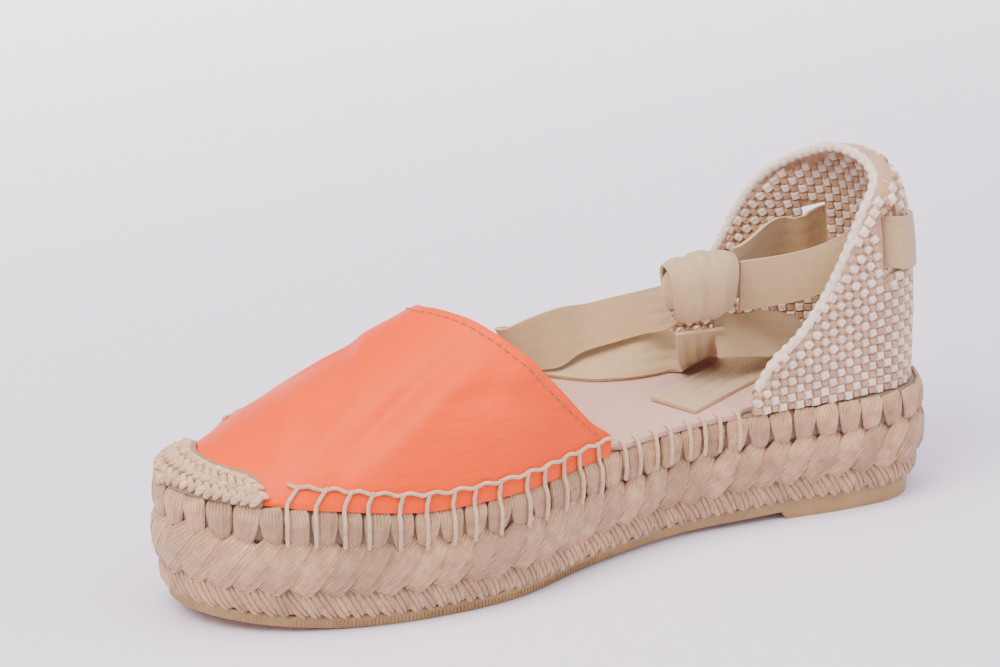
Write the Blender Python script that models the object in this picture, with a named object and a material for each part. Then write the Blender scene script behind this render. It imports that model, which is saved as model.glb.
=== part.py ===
"""Espadrille platform sandal, right shoe: braided jute platform on a rubber sole, leather toe, woven heel.

Metres, +Z up. The toe points to -X, the inner side of the foot faces -Y, and the shoe stands on z = 0
with the middle of its footprint at the origin. Side views look along +Y.
"""
import bpy
import numpy as np
from math import pi, radians

# Driving sizes of the platform
SOLE_LENGTH = 0.252
BALL_WIDTH = 0.088
DECK_TOE = 0.0435          # top of the jute at the toe tip
DECK_BALL = 0.0352         # top of the jute at the ball
DECK_HEEL = 0.0376         # top of the jute at the heel
TOE_SPRING = 0.0062        # how far the rubber lifts under the toe tip
ARCH_RISE = 0.0026         # how far the rubber lifts just ahead of the heel block
RUBBER = 0.0040            # rubber sheet
RUBBER_INSET = 0.0040      # the rubber stands back from the jute
ROW_INSET = 0.0016         # the tops and bottoms of the jute rows stand back from their bulge
STRAND_DEPTH = 0.0012      # valleys between the strands of a row
FIT = 0.0003               # clearance between pieces

# Driving sizes of the upper
LEATHER = 0.0016
VAMP_INSET = 0.0012        # the leather's foot stands back from the jute
CAP_WALL = 0.0022          # jute toe cap
CAP_TUCK = 0.0016          # the leather steps in under the toe cap
CAP_INNER = 0.225          # share of the throat's half that the toe cap spans on the inner side
CAP_OUTER = 0.150          # and on the outer side
CAP_REACH = 0.125          # share of the way to the throat that the cap reaches at its middle
CAP_RIM = 0.005            # and at its ends
THROAT_BACK = 0.0460       # how far the throat's ends lie behind its middle
THROAT_MIDDLE = 0.0890     # from the toe tip to the middle of the throat
COTTON = 0.0026            # wall of the heel piece
COTTON_INSET = 0.0016      # its foot stands back from the jute at the sides
COTTON_BACK = 0.0046       # and at the back
COUNTER_START = 0.1860     # from the toe tip to the heel piece's front corners
COUNTER_DEPTH = 0.0620     # from there to its back
COUNTER_HEIGHT = 0.0735    # over the deck
SOCK = 0.0020              # insole
SOCK_TUCK = 0.0050         # and tucks in under the leather round the toe
SOCK_EDGE = 0.0014         # the insole stands back from the jute where nothing stands beside it

# Driving sizes of the ribbon
RIBBON_WIDTH = 0.0170
RIBBON = 0.0011
SLOT_SHARE = 0.315         # share of the way round the heel piece from its front corner to the slot
SLOT_WIDTH = 0.0078         # room for the ribbon to pass through the wall
SLOT_SLACK = 0.0021        # the slot is longer than the ribbon is wide, at each end
BAND_EASE = 0.0006         # clearance of the ribbon round the heel
FOOT_INSET = 0.0006        # the rubber's tread stands in from its edge
BAND_INNER = 0.0775        # lower edge of the ribbon at the inner slot
BAND_OUTER = 0.0665        # and at the outer slot
KNOT_PLACE = (0.054, 0.0005, 0.0720)
KNOT_SIZE = (0.0245, 0.0170, 0.0215)
STRAND_TO_KNOT = 0.0160    # width of the ribbon where it enters the knot
STRAND_STEP = 0.0012       # the outer strand enters this much above the knot's middle, the inner one below
STRAND_APART = 0.17        # share of the knot's depth that each strand stands off its middle
KNOT_SQUARING = 0.18       # how much fuller than an ellipse the knot is
LEAD_PULL = 0.0240         # how straight the strands leave the slots and enter the knot
INNER_DROP = 0.0380        # how steeply the inner strand falls away from its slot
OUTER_DROP = -0.0150       # the outer one rises first

COLUMNS = 128              # points round the platform, two for each strand
TOE_X = -SOLE_LENGTH / 2

# Outline of the jute: station from the toe, then both sides as shares of the ball width
OUTLINE = (
    # station, inner side, outer side
    (0.012, -0.180, 0.062),
    (0.040, -0.275, 0.152),
    (0.100, -0.382, 0.272),
    (0.180, -0.457, 0.380),
    (0.280, -0.500, 0.464),
    (0.400, -0.486, 0.495),
    (0.520, -0.371, 0.464),
    (0.640, -0.298, 0.425),
    (0.760, -0.309, 0.393),
    (0.880, -0.336, 0.326),
    (0.950, -0.318, 0.233),
    (0.987, -0.228, 0.105),
)
TIP_SHARE = -0.055
HEEL_SHARE = -0.055

# Height of the jute's top between its toe, ball and heel values
DECK = (
    # station, weight of toe, ball and heel height
    (0.00, 1.00, 0.00, 0.00),
    (0.15, 0.52, 0.48, 0.00),
    (0.30, 0.00, 1.00, 0.00),
    (0.45, 0.00, 0.78, 0.22),
    (0.60, 0.00, 0.45, 0.55),
    (0.80, 0.00, 0.10, 0.90),
    (1.00, 0.00, 0.00, 1.00),
)
SPRING_END = 0.26          # station where the sole meets the ground behind the toe spring
BALL_END = 0.37            # station where the sole leaves the ground again
BREAST = 0.79              # station of the step at the front of the heel block
BREAST_SLOPE = 0.0008

# Rows of jute, as shares of the height from the rubber to the deck
ROWS = (
    # name, bottom, top, bulge beyond the outline, lean of the strands in strand widths
    ("braid_bottom", 0.00, 0.26, -0.0010, -0.6),
    ("braid_middle", 0.26, 0.66, 0.0000, 1.0),
    ("braid_top", 0.66, 1.00, 0.0000, 0.0),
)

# Crown of the vamp above the deck, as a share of the height at the throat's middle
CROWN_HEIGHT = 0.0448
CROWN = (
    # share of the way from the toe tip to the throat's middle, share of the crown height
    (0.00, 0.000),
    (0.02, 0.055),
    (0.06, 0.095),
    (0.12, 0.130),
    (0.20, 0.190),
    (0.35, 0.345),
    (0.58, 0.570),
    (0.76, 0.785),
    (0.94, 0.960),
    (1.00, 1.000),
    (1.20, 1.080),
    (1.60, 1.180),
)
VAMP_ACROSS_INNER = 2.0    # roundness of the vamp towards each side of the foot
VAMP_ACROSS_OUTER = 1.6
VAMP_UP_TOE = 1.15
VAMP_UP_BALL = 1.85
THROAT_END = 0.994         # the throat's ends stand this share of the way to the edge
THROAT = (
    # side from the inner to the outer end, share of the way back from the throat's middle
    (-1.00, 1.000),
    (-0.98, 0.870),
    (-0.94, 0.750),
    (-0.85, 0.600),
    (-0.70, 0.435),
    (-0.50, 0.290),
    (-0.29, 0.165),
    (-0.09, 0.060),
    (0.10, 0.000),
    (0.30, 0.030),
    (0.50, 0.100),
    (0.70, 0.240),
    (0.85, 0.420),
    (0.94, 0.620),
    (0.98, 0.800),
    (1.00, 0.960),
)

# Free edge of the heel piece, from its inner front corner over the top to its outer one
COUNTER_EDGE = (
    # share of the way, behind the front corners, sideways, height over the deck
    (0.00, 0.020, -0.440, 0.110),
    (0.05, 0.110, -0.448, 0.225),
    (0.10, 0.242, -0.452, 0.318),
    (0.16, 0.395, -0.438, 0.478),
    (0.20, 0.492, -0.422, 0.620),
    (0.24, 0.581, -0.402, 0.770),
    (0.30, 0.674, -0.357, 0.876),
    (0.36, 0.726, -0.290, 0.922),
    (0.42, 0.735, -0.198, 0.967),
    (0.46, 0.719, -0.129, 0.986),
    (0.50, 0.697, -0.052, 0.995),
    (0.54, 0.674, 0.034, 0.992),
    (0.58, 0.648, 0.121, 0.971),
    (0.64, 0.605, 0.250, 0.919),
    (0.70, 0.565, 0.336, 0.874),
    (0.76, 0.492, 0.419, 0.808),
    (0.80, 0.435, 0.466, 0.742),
    (0.84, 0.379, 0.493, 0.667),
    (0.90, 0.250, 0.534, 0.443),
    (0.95, 0.137, 0.566, 0.254),
    (1.00, 0.024, 0.579, 0.110),
)
HEEL_WIDTH = 0.0580
COUNTER_BULGE = 3.0
EDGE_LEAN = 1.6


def smooth_curve(xs, ys, x):
    """Cubic through the points, with slopes that never overshoot."""
    xs = np.asarray(xs, float)
    ys = np.asarray(ys, float)
    steps = np.diff(xs)
    rise = np.diff(ys) / steps
    slope = np.empty_like(ys)
    slope[0] = rise[0]
    slope[-1] = rise[-1]
    weight = steps[1:] + 2 * steps[:-1], steps[1:] * 2 + steps[:-1]
    same_way = rise[:-1] * rise[1:] > 0
    safe_a = np.where(same_way, rise[:-1], 1)
    safe_b = np.where(same_way, rise[1:], 1)
    mean = (weight[0] + weight[1]) / (weight[1] / safe_a + weight[0] / safe_b)
    slope[1:-1] = np.where(same_way, mean, 0)
    return hermite(xs, ys, slope, x)


def hermite(xs, ys, slope, x):
    x = np.asarray(x, float)
    i = np.clip(np.searchsorted(xs, x, side="right") - 1, 0, len(xs) - 2)
    h = xs[i + 1] - xs[i]
    t = (x - xs[i]) / h
    start = (1 + 2 * t) * (1 - t) ** 2 * ys[i] + t * (1 - t) ** 2 * h * slope[i]
    end = t * t * (3 - 2 * t) * ys[i + 1] + t * t * (t - 1) * h * slope[i + 1]
    return start + end


def flowing_curve(xs, ys, x):
    """Cubic through the points whose slopes follow their neighbours."""
    xs = np.asarray(xs, float)
    ys = np.asarray(ys, float)
    return hermite(xs, ys, np.gradient(ys, xs), x)


def smoothstep(low, high, x):
    t = np.clip((x - low) / (high - low), 0, 1)
    return t * t * (3 - 2 * t)


def station(x):
    return np.clip((np.asarray(x) - TOE_X) / SOLE_LENGTH, 0, 1)


def deck(x):
    """Height of the top of the jute."""
    u = station(x)
    table = np.array(DECK)
    toe, ball, heel = (smooth_curve(table[:, 0], table[:, k], u) for k in (1, 2, 3))
    return toe * DECK_TOE + ball * DECK_BALL + heel * DECK_HEEL


def ground_side(x):
    """Height of the rubber's underside ahead of the heel block."""
    u = station(x)
    spring = TOE_SPRING * np.clip((SPRING_END - u) / SPRING_END, 0, 1) ** 2
    arch = ARCH_RISE * np.clip((u - BALL_END) / (BREAST - BALL_END), 0, 1) ** 1.3
    return spring + arch


def rubber_top(x):
    return ground_side(x) + RUBBER


def dense_outline():
    """The whole outline, from the toe tip along the inner side to the heel and back."""
    table = np.array(OUTLINE)
    angle = np.arccos(1 - 2 * table[:, 0])
    angles = np.concatenate([[0], angle, [pi], 2 * pi - angle[::-1], [2 * pi]])
    shares = np.concatenate([[TIP_SHARE], table[:, 1], [HEEL_SHARE], table[::-1, 2], [TIP_SHARE]])
    wrapped = np.concatenate([angles[-4:-1] - 2 * pi, angles, angles[1:4] + 2 * pi])
    wrapped_shares = np.concatenate([shares[-4:-1], shares, shares[1:4]])
    turn = np.linspace(0, 2 * pi, 1441)
    x = -SOLE_LENGTH / 2 * np.cos(turn)
    return np.stack([x, BALL_WIDTH * flowing_curve(wrapped, wrapped_shares, turn)], 1)


OUTLINE_POINTS = dense_outline()


def outline_normals(points):
    along = np.roll(points[:-1], -1, 0) - np.roll(points[:-1], 1, 0)
    along /= np.linalg.norm(along, axis=1)[:, None]
    out = np.stack([along[:, 1], -along[:, 0]], 1)
    return np.concatenate([out, out[:1]])


OUTLINE_OUT = outline_normals(OUTLINE_POINTS)


def walk(points, start, end, count):
    """Evenly spaced points of a polyline between two of its own places, each a share of its length."""
    run = np.concatenate([[0], np.cumsum(np.linalg.norm(np.diff(points, axis=0), axis=1))])
    want = np.linspace(start, end, count) * run[-1]
    return np.stack([np.interp(want, run, points[:, k]) for k in range(points.shape[1])], 1)


def outline_ring(inset, count=COLUMNS):
    """Points round the outline, as many on each side, moved inward by inset."""
    moved = OUTLINE_POINTS - OUTLINE_OUT * np.reshape(inset, (-1, 1))
    half = len(moved) // 2
    inner = walk(moved[:half + 1], 0, 1, count // 2 + 1)[:-1]
    outer = walk(moved[half:], 0, 1, count // 2 + 1)[:-1]
    return np.concatenate([inner, outer])


def side_edges(x, inset):
    """Sideways places of the inner and the outer edge at x."""
    moved = OUTLINE_POINTS - OUTLINE_OUT * inset
    half = len(moved) // 2
    inner = np.interp(x, moved[:half + 1, 0], moved[:half + 1, 1])
    outer = np.interp(x, moved[half:, 0][::-1], moved[half:, 1][::-1])
    return inner, outer


def material(name, colour, roughness, metallic=0.0):
    """The material of that name, made the first time that a piece asks for it."""
    if name in bpy.data.materials:
        return bpy.data.materials[name]
    mat = bpy.data.materials.new(name)
    mat.use_nodes = True
    shader = mat.node_tree.nodes["Principled BSDF"]
    shader.inputs["Base Color"].default_value = (*colour, 1)
    shader.inputs["Roughness"].default_value = roughness
    shader.inputs["Metallic"].default_value = metallic
    return mat


def add_piece(name, points, faces, mat):
    """A closed body from points and faces, turned so that its faces point out."""
    points = np.asarray(points, float)
    volume = 0.0
    for face in faces:
        for k in range(1, len(face) - 1):
            a, b, c = (points[face[j]] for j in (0, k, k + 1))
            volume += np.dot(a, np.cross(b, c)) / 6
    if volume < 0:
        faces = [tuple(reversed(face)) for face in faces]
    mesh = bpy.data.meshes.new(name)
    mesh.from_pydata(points.tolist(), [], faces)
    mesh.materials.append(mat)
    mesh.shade_smooth()
    mesh.set_sharp_from_angle(angle=radians(40))
    piece = bpy.data.objects.new(name, mesh)
    bpy.context.scene.collection.objects.link(piece)
    return piece


def stacked_rings(name, rings, mat):
    """A plate from rings of points: walls between the rings, strips across its top and bottom."""
    count = len(rings[0])
    faces = []
    for level in range(len(rings) - 1):
        for i in range(count):
            j = (i + 1) % count
            a, b = level * count, (level + 1) * count
            faces.append((a + i, a + j, b + j, b + i))
    for base, turned in ((0, True), ((len(rings) - 1) * count, False)):
        for i in range(count // 2):
            loop = [base + i, base + i + 1, base + count - i - 1, base + (count - i) % count]
            loop = list(dict.fromkeys(loop))
            for k in range(1, len(loop) - 1):
                face = (loop[0], loop[k], loop[k + 1])
                faces.append(tuple(reversed(face)) if turned else face)
    return add_piece(name, np.concatenate(rings), faces, mat)


def wall(name, outer, inner, mat, holes=()):
    """A shell between two grids of points, with a rim round its edge and round each hole."""
    rows, columns = outer.shape[:2]
    size = rows * columns

    def missing(r, c):
        outside = not (0 <= r < rows - 1 and 0 <= c < columns - 1)
        return outside or any(r0 <= r < r1 and c0 <= c < c1 for r0, r1, c0, c1 in holes)

    faces = []
    used = {}
    for r in range(rows - 1):
        for c in range(columns - 1):
            if missing(r, c):
                continue
            a, b = r * columns + c, r * columns + c + 1
            d, e = a + columns, b + columns
            faces.append((a, b, e, d))
            faces.append((size + d, size + e, size + b, size + a))
            for (r2, c2), (p, q) in (
                ((r - 1, c), (a, b)),
                ((r, c + 1), (b, e)),
                ((r + 1, c), (e, d)),
                ((r, c - 1), (d, a)),
            ):
                if missing(r2, c2):
                    faces.append((q, p, size + p, size + q))
    points = np.concatenate([outer.reshape(-1, 3), inner.reshape(-1, 3)])
    for index in sorted({i for face in faces for i in face}):
        used[index] = len(used)
    kept = points[list(used)]
    return add_piece(name, kept, [tuple(used[i] for i in face) for face in faces], mat)


def grid_normals(grid):
    down = np.gradient(grid, axis=0)
    across = np.gradient(grid, axis=1)
    normal = np.cross(across, down)
    return normal / np.linalg.norm(normal, axis=2)[..., None]


def build_outsole():
    """Rubber sheet with toe spring and arch, and a heel block with a step at its front."""
    mat = material("gum_rubber", (0.36, 0.22, 0.09), 0.45)
    ring = outline_ring(RUBBER_INSET)
    breast = TOE_X + BREAST * SOLE_LENGTH
    block = smoothstep(breast - BREAST_SLOPE / 2, breast + BREAST_SLOPE / 2, ring[:, 0])
    near = np.argsort(np.abs(ring[:, 0] - breast))
    for side in (ring[:, 1] < 0, ring[:, 1] >= 0):
        first, second = sorted([i for i in near if side[i]][:2], key=lambda i: ring[i, 0])
        ring[first] = on_outline(breast - BREAST_SLOPE / 2, ring[first, 1] < 0)
        ring[second] = on_outline(breast + BREAST_SLOPE / 2, ring[second, 1] < 0)
        block[first] = 0
        block[second] = 1
    bottom = ground_side(ring[:, 0]) * (1 - block)
    foot = ring - FOOT_INSET * np.sign(ring[:, 1:]) * [[0, 1]]
    rings = [
        np.column_stack([foot, bottom]),
        np.column_stack([ring, bottom + 0.3 * (rubber_top(ring[:, 0]) - bottom)]),
        np.column_stack([ring, rubber_top(ring[:, 0])]),
    ]
    stacked_rings("outsole", rings, mat)


def on_outline(x, inner_side):
    inner, outer = side_edges(x, RUBBER_INSET)
    return x, inner if inner_side else outer


def build_braid_rows():
    """Three rows of braided jute, each a plate whose side is raised strand by strand."""
    mat = material("jute", (0.56, 0.44, 0.28), 0.95)
    steps = (0.0, 0.14, 0.5, 0.86, 1.0)
    for name, low, high, bulge, lean in ROWS:
        rings = []
        for step in steps:
            round_off = 1 - (1 - (2 * step - 1) ** 2) ** 0.5
            edge = outline_ring(ROW_INSET * round_off - bulge)
            raised = (np.arange(COLUMNS) + round(2 * lean * step)) % 2
            valley = 0.0 if step in (0.0, 1.0) else STRAND_DEPTH
            ring = outline_ring(ROW_INSET * round_off - bulge + valley)
            ring = np.where(raised[:, None] == 0, edge, ring)
            floor = rubber_top(ring[:, 0]) + FIT
            height = deck(ring[:, 0]) - floor
            share = low + (high - low) * step
            gap = FIT * (1 - step) if low > 0 else 0.0
            rings.append(np.column_stack([ring, floor + height * share + gap]))
        stacked_rings(name, rings, mat)


def insole_inset(x):
    """The insole tucks in beside the leather and the heel piece and reaches out between them."""
    vamp_end = TOE_X + THROAT_MIDDLE + THROAT_BACK
    counter = TOE_X + COUNTER_START
    toe = 1 - smoothstep(0.0, 0.34, station(x))
    beside_vamp = vamp_inset(x) + LEATHER + 3 * FIT + SOCK_TUCK * toe
    beside_counter = counter_inset(x) + COTTON + 3 * FIT
    behind_vamp = smoothstep(vamp_end + 0.001, vamp_end + 0.006, x)
    at_counter = smoothstep(counter - 0.007, counter - 0.001, x)
    free = behind_vamp * (1 - at_counter)
    return free * SOCK_EDGE + (1 - behind_vamp) * beside_vamp + at_counter * beside_counter


def build_insole():
    mat = material("sock_leather", (0.68, 0.50, 0.42), 0.6)
    ring = outline_ring(insole_inset(OUTLINE_POINTS[:, 0]))
    rings = [np.column_stack([ring, deck(ring[:, 0]) + FIT + share * SOCK]) for share in (0.0, 1.0)]
    stacked_rings("insole", rings, mat)


def vamp_inset(x):
    toe = 1 - smoothstep(0.08, 0.15, station(x))
    return VAMP_INSET + CAP_TUCK * toe


def vamp_surface(x, y):
    """Height of the leather's outside over the foot."""
    inner, outer = side_edges(x, 0.0)
    inset = vamp_inset(x)
    middle = (inner + outer) / 2
    half = (outer - inner) / 2 - inset
    across = np.clip(np.abs(y - middle) / np.maximum(half, 1e-5), 0, 1)
    roundness = np.where(y > middle, VAMP_ACROSS_OUTER, VAMP_ACROSS_INNER)
    table = np.array(CROWN)
    way = np.clip((x - TOE_X - inset) / THROAT_MIDDLE, 0, table[-1, 0])
    crown = CROWN_HEIGHT * smooth_curve(table[:, 0] ** 0.5, table[:, 1], way ** 0.5)
    power = VAMP_UP_TOE + (VAMP_UP_BALL - VAMP_UP_TOE) * smoothstep(0.0, 0.6, way)
    return deck(x) + FIT + crown * (1 - across ** roundness) ** (1 / power)


def throat_point(side):
    """Plan place of the throat's edge, with side from -1 at its inner end to 1 at its outer end."""
    table = np.array(THROAT)
    x = TOE_X + THROAT_MIDDLE + THROAT_BACK * smooth_curve(table[:, 0], table[:, 1], side)
    inner, outer = side_edges(x, VAMP_INSET)
    y = (inner + outer) / 2 + side * THROAT_END * (outer - inner) / 2
    return np.stack([x, y], -1)


def vamp_foot(count):
    """The leather's foot on the deck, from its inner end round the toe to its outer end."""
    moved = OUTLINE_POINTS - OUTLINE_OUT * vamp_inset(OUTLINE_POINTS[:, 0])[:, None]
    end = TOE_X + THROAT_MIDDLE + THROAT_BACK
    half = len(moved) // 2
    inner = moved[:half + 1]
    inner = inner[inner[:, 0] < end]
    outer = moved[half:]
    outer = outer[outer[:, 0] < end]
    first = walk(inner[::-1], 0, 1, count // 2 + 1)
    second = walk(outer[::-1], 0, 1, count // 2 + 1)
    return np.concatenate([first, second[1:]])


def build_vamp(rows=14, columns=40):
    """Hollow leather toe: from its foot on the jute up to the edge of the throat."""
    mat = material("upper_leather", (0.80, 0.21, 0.02), 0.42)
    outer, inner = vamp_grids(rows, columns)
    wall("vamp", outer, inner, mat)


def vamp_grids(rows, columns):
    foot = vamp_foot(columns)
    side = np.linspace(-1, 1, columns + 1)
    throat = throat_point(np.sign(side) * np.abs(side) ** 0.7)
    way = np.linspace(0, 1, rows) ** 2.0
    plan = foot[None] + (throat - foot)[None] * way[:, None, None]
    height = vamp_surface(plan[..., 0], plan[..., 1])
    height[0] = deck(foot[:, 0]) + FIT
    outer = np.concatenate([plan, height[..., None]], 2)
    inner = outer - facing_out(outer) * LEATHER
    inner[0, :, 2] = height[0]
    return outer, inner


def facing_out(grid):
    normal = grid_normals(grid)
    middle = grid.reshape(-1, 3).mean(0)
    return normal if ((grid - middle) * normal).sum() > 0 else -normal


def build_toe_cap(rows=7, columns=30):
    """Jute cap over the front of the leather."""
    mat = material("jute_knit", (0.60, 0.48, 0.32), 0.95)
    foot = vamp_foot(400)
    side = np.linspace(-1, 1, 401)
    throat = throat_point(side)
    pick = (side >= -CAP_INNER) & (side <= CAP_OUTER)
    even = walk(np.column_stack([foot[pick], throat[pick], side[pick]]), 0, 1, columns)
    base, target, place = even[:, :2], even[:, 2:4], even[:, 4]
    place = np.where(place < 0, place / CAP_INNER, place / CAP_OUTER)
    reach = CAP_RIM + (CAP_REACH - CAP_RIM) * (1 - np.abs(place) ** 5)
    way = np.linspace(0, 1, rows) ** 1.6
    plan = base[None] + (target - base)[None] * (way[:, None] * reach[None])[..., None]
    height = vamp_surface(plan[..., 0], plan[..., 1])
    height[0] = deck(base[:, 0]) + FIT
    skin = np.concatenate([plan, height[..., None]], 2)
    normal = facing_out(skin)
    inner = skin + normal * FIT
    outer = skin + normal * (FIT + CAP_WALL)
    inner[0, :, 2] = outer[0, :, 2] = height[0]
    wall("toe_cap", outer, inner, mat)


def counter_inset(x):
    """The heel piece's foot stands back from the jute, more so at the back."""
    start = TOE_X + COUNTER_START
    back = smoothstep(start, start + 1.1 * COUNTER_DEPTH, x)
    return COTTON_INSET + (COTTON_BACK - COTTON_INSET) * back


def counter_foot(share):
    """Plan place of the heel piece's foot, share 0 at its inner front corner, 1 at its outer one."""
    moved = OUTLINE_POINTS - OUTLINE_OUT * counter_inset(OUTLINE_POINTS[:, 0])[:, None]
    moved = moved[moved[:, 0] > TOE_X + COUNTER_START]
    run = np.concatenate([[0], np.cumsum(np.linalg.norm(np.diff(moved, axis=0), axis=1))])
    want = np.asarray(share) * run[-1]
    return np.stack([np.interp(want, run, moved[:, k]) for k in (0, 1)], -1)


def counter_edge(share):
    """Place of the heel piece's free edge."""
    table = np.array(COUNTER_EDGE)
    behind, side, height = (flowing_curve(table[:, 0], table[:, k], share) for k in (1, 2, 3))
    x = TOE_X + COUNTER_START + behind * COUNTER_DEPTH
    return np.stack([x, side * HEEL_WIDTH, deck(x) + height * COUNTER_HEIGHT], -1)


def counter_place(share, height_share):
    """Point on the outside of the heel piece."""
    foot = counter_foot(share)
    edge = counter_edge(share)
    from_corner = 0.5 - np.abs(np.asarray(share) - 0.5)
    power = EDGE_LEAN + (COUNTER_BULGE - EDGE_LEAN) * smoothstep(0.1, 0.42, from_corner)
    inward = 1 - (1 - np.clip(height_share, 0, 1) ** power) ** (1 / power)
    plan = foot + (edge[..., :2] - foot) * inward[..., None]
    base = deck(foot[..., 0]) + FIT
    z = base + (edge[..., 2] - base) * height_share
    return np.concatenate([plan, z[..., None]], -1)


def counter_normal(share, height_share):
    """Direction out of the heel piece."""
    ahead, back = np.clip(share + 0.012, 0, 1), np.clip(share - 0.012, 0, 1)
    higher, lower = np.clip(height_share + 0.04, 0, 0.99), np.clip(height_share - 0.04, 0, 0.95)
    along = counter_place(ahead, height_share) - counter_place(back, height_share)
    up = counter_place(share, higher) - counter_place(share, lower)
    out = np.cross(along, up)
    return out / np.linalg.norm(out, axis=-1)[..., None]


def wall_share(share, z):
    """Height over the wall's foot, as a share of the wall's height there."""
    base = deck(counter_foot(share)[..., 0]) + FIT
    top = counter_edge(share)[..., 2]
    return (z - base) / (top - base)


def counter_length():
    foot = counter_foot(np.linspace(0, 1, 200))
    return np.linalg.norm(np.diff(foot, axis=0), axis=1).sum()


def half_slot():
    """Half a slot's width, as a share of the way round the heel piece."""
    return SLOT_WIDTH / 2 / counter_length()


def counter_front(count=10):
    return np.linspace(0, SLOT_SHARE - half_slot(), count)


def counter_back(count=17):
    start = SLOT_SHARE + half_slot()
    return np.linspace(start, 1 - start, count)


def build_heel_counter():
    """Tall woven heel piece with a slot on each side for the ribbon."""
    mat = material("woven_cotton", (0.80, 0.72, 0.60), 0.9)
    shares = np.concatenate([counter_front(), counter_back(), 1 - counter_front()[::-1]])
    inner_low, inner_high = slot_levels(SLOT_SHARE)
    outer_low, outer_high = slot_levels(1 - SLOT_SHARE)
    marks = [0.0, outer_low, inner_low, outer_high, inner_high, 1.0]
    parts = [4, 2, 2, 3, 4]
    spans = [np.linspace(marks[k], marks[k + 1], parts[k] + 1)[:-1] for k in range(4)]
    crest = 1 - (1 - marks[4]) * np.linspace(1, 0, parts[4] + 1) ** 2
    levels = np.concatenate(spans + [crest])
    share_grid = shares[None] + 0 * levels[:, None]
    level_grid = levels[:, None] + 0 * shares[None]
    outer = counter_place(share_grid, level_grid)
    inner = outer - counter_normal(share_grid, level_grid) * COTTON
    inner[0, :, 2] = outer[0, :, 2]
    columns = len(shares) - 1
    slot = len(counter_front()) - 1
    inner_rows = (sum(parts[:2]), sum(parts[:4]))
    outer_rows = (parts[0], sum(parts[:3]))
    holes = ((*inner_rows, slot, slot + 1), (*outer_rows, columns - slot - 1, columns - slot))
    wall("heel_counter", outer, inner, mat, holes)


def band_height(share):
    """Lower edge of the ribbon round the heel, which slopes down to the outer side."""
    way = (share - SLOT_SHARE) / (1 - 2 * SLOT_SHARE)
    return BAND_INNER + (BAND_OUTER - BAND_INNER) * way


def slot_levels(share):
    """Lower and upper end of a slot, as shares of the wall's height there."""
    share = np.array(share)
    low = band_height(share) - SLOT_SLACK
    return wall_share(share, low), wall_share(share, low + ribbon_rise() + 2 * SLOT_SLACK)


def ribbon_rise():
    """Rise of the ribbon from its lower to its upper edge where it leans over the heel."""
    return RIBBON_WIDTH * 0.97


def strip(name, lower, upper, mat, across=4):
    """Flat ribbon between two edges, each a row of points along it."""
    share = np.linspace(0, 1, across + 1)[None, :, None]
    middle = lower[:, None] * (1 - share) + upper[:, None] * share
    return ribbon_sheet(name, middle, mat)


def ribbon_sheet(name, middle, mat):
    normal = grid_normals(middle)
    return wall(name, middle + normal * RIBBON / 2, middle - normal * RIBBON / 2, mat)


def spline_rows(rows, count):
    """A smooth curve through rows of numbers, evenly spaced along the first point's way."""
    rows = np.asarray(rows, float)
    run = np.concatenate([[0], np.cumsum(np.linalg.norm(np.diff(rows[:, :6], axis=0), axis=1) ** 0.5)])
    dense = np.linspace(0, run[-1], 600)
    fine = np.stack([flowing_curve(run, rows[:, k], dense) for k in range(rows.shape[1])], 1)
    return walk(fine, 0, 1, count)


def build_ribbon_band():
    """Ribbon from the knot through one slot, round the heel and back through the other slot."""
    mat = material("ribbon_twill", (0.52, 0.43, 0.24), 0.85)
    levels = np.linspace(0, 1, 5)
    outside = RIBBON / 2 + BAND_EASE
    inside = -COTTON - RIBBON / 2 - BAND_EASE
    path = [
        # half slot widths from the middle of the slot, offset from the outside of the wall
        (-1.9, inside - 3 * BAND_EASE),
        (-0.80, inside - 2 * BAND_EASE),
        (-0.4, (3 * inside + outside) / 4),
        (0.4, (inside + 3 * outside) / 4),
        (0.95, outside),
    ]
    first = [(SLOT_SHARE + place * half_slot(), offset) for place, offset in path]
    around = [(share, outside) for share in counter_back()[1:-1]]
    steps = first + around + [(1 - share, offset) for share, offset in reversed(first)]
    grid = []
    for share, offset in steps:
        z = band_height(share) + ribbon_rise() * levels
        level = wall_share(share + 0 * z, z)
        grid.append(counter_place(share + 0 * z, level) + counter_normal(share + 0 * z, level) * offset)
    grid = np.array(grid)
    inner_lead = lead_to_knot(grid[0], grid[0] - grid[1], -1)
    outer_lead = lead_to_knot(grid[-1], grid[-1] - grid[-2], 1)
    grid = np.concatenate([inner_lead[::-1], grid, outer_lead])
    ribbon_sheet("ribbon_band", grid, mat)


def lead_to_knot(start, heading, side, count=9):
    """Rows of a strand from inside a slot to the side of the knot."""
    knot = np.array(KNOT_PLACE)
    size = np.array(KNOT_SIZE)
    levels = np.linspace(-0.5, 0.5, len(start))[:, None]
    end = knot + [size[0] / 2 + FIT, side * size[1] * STRAND_APART, side * STRAND_STEP]
    end = end + levels * [[0, 0, STRAND_TO_KNOT]]
    heading = heading / np.linalg.norm(heading, axis=1)[:, None] * LEAD_PULL
    heading[:, 2] -= INNER_DROP if side < 0 else OUTER_DROP
    arrival = np.array([-LEAD_PULL, 0, 0])
    t = np.linspace(0, 1, count + 1)[1:, None, None]
    curve = (2 * t ** 3 - 3 * t ** 2 + 1) * start + (t ** 3 - 2 * t ** 2 + t) * heading
    return curve + (3 * t ** 2 - 2 * t ** 3) * end + (t ** 3 - t ** 2) * arrival


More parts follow.
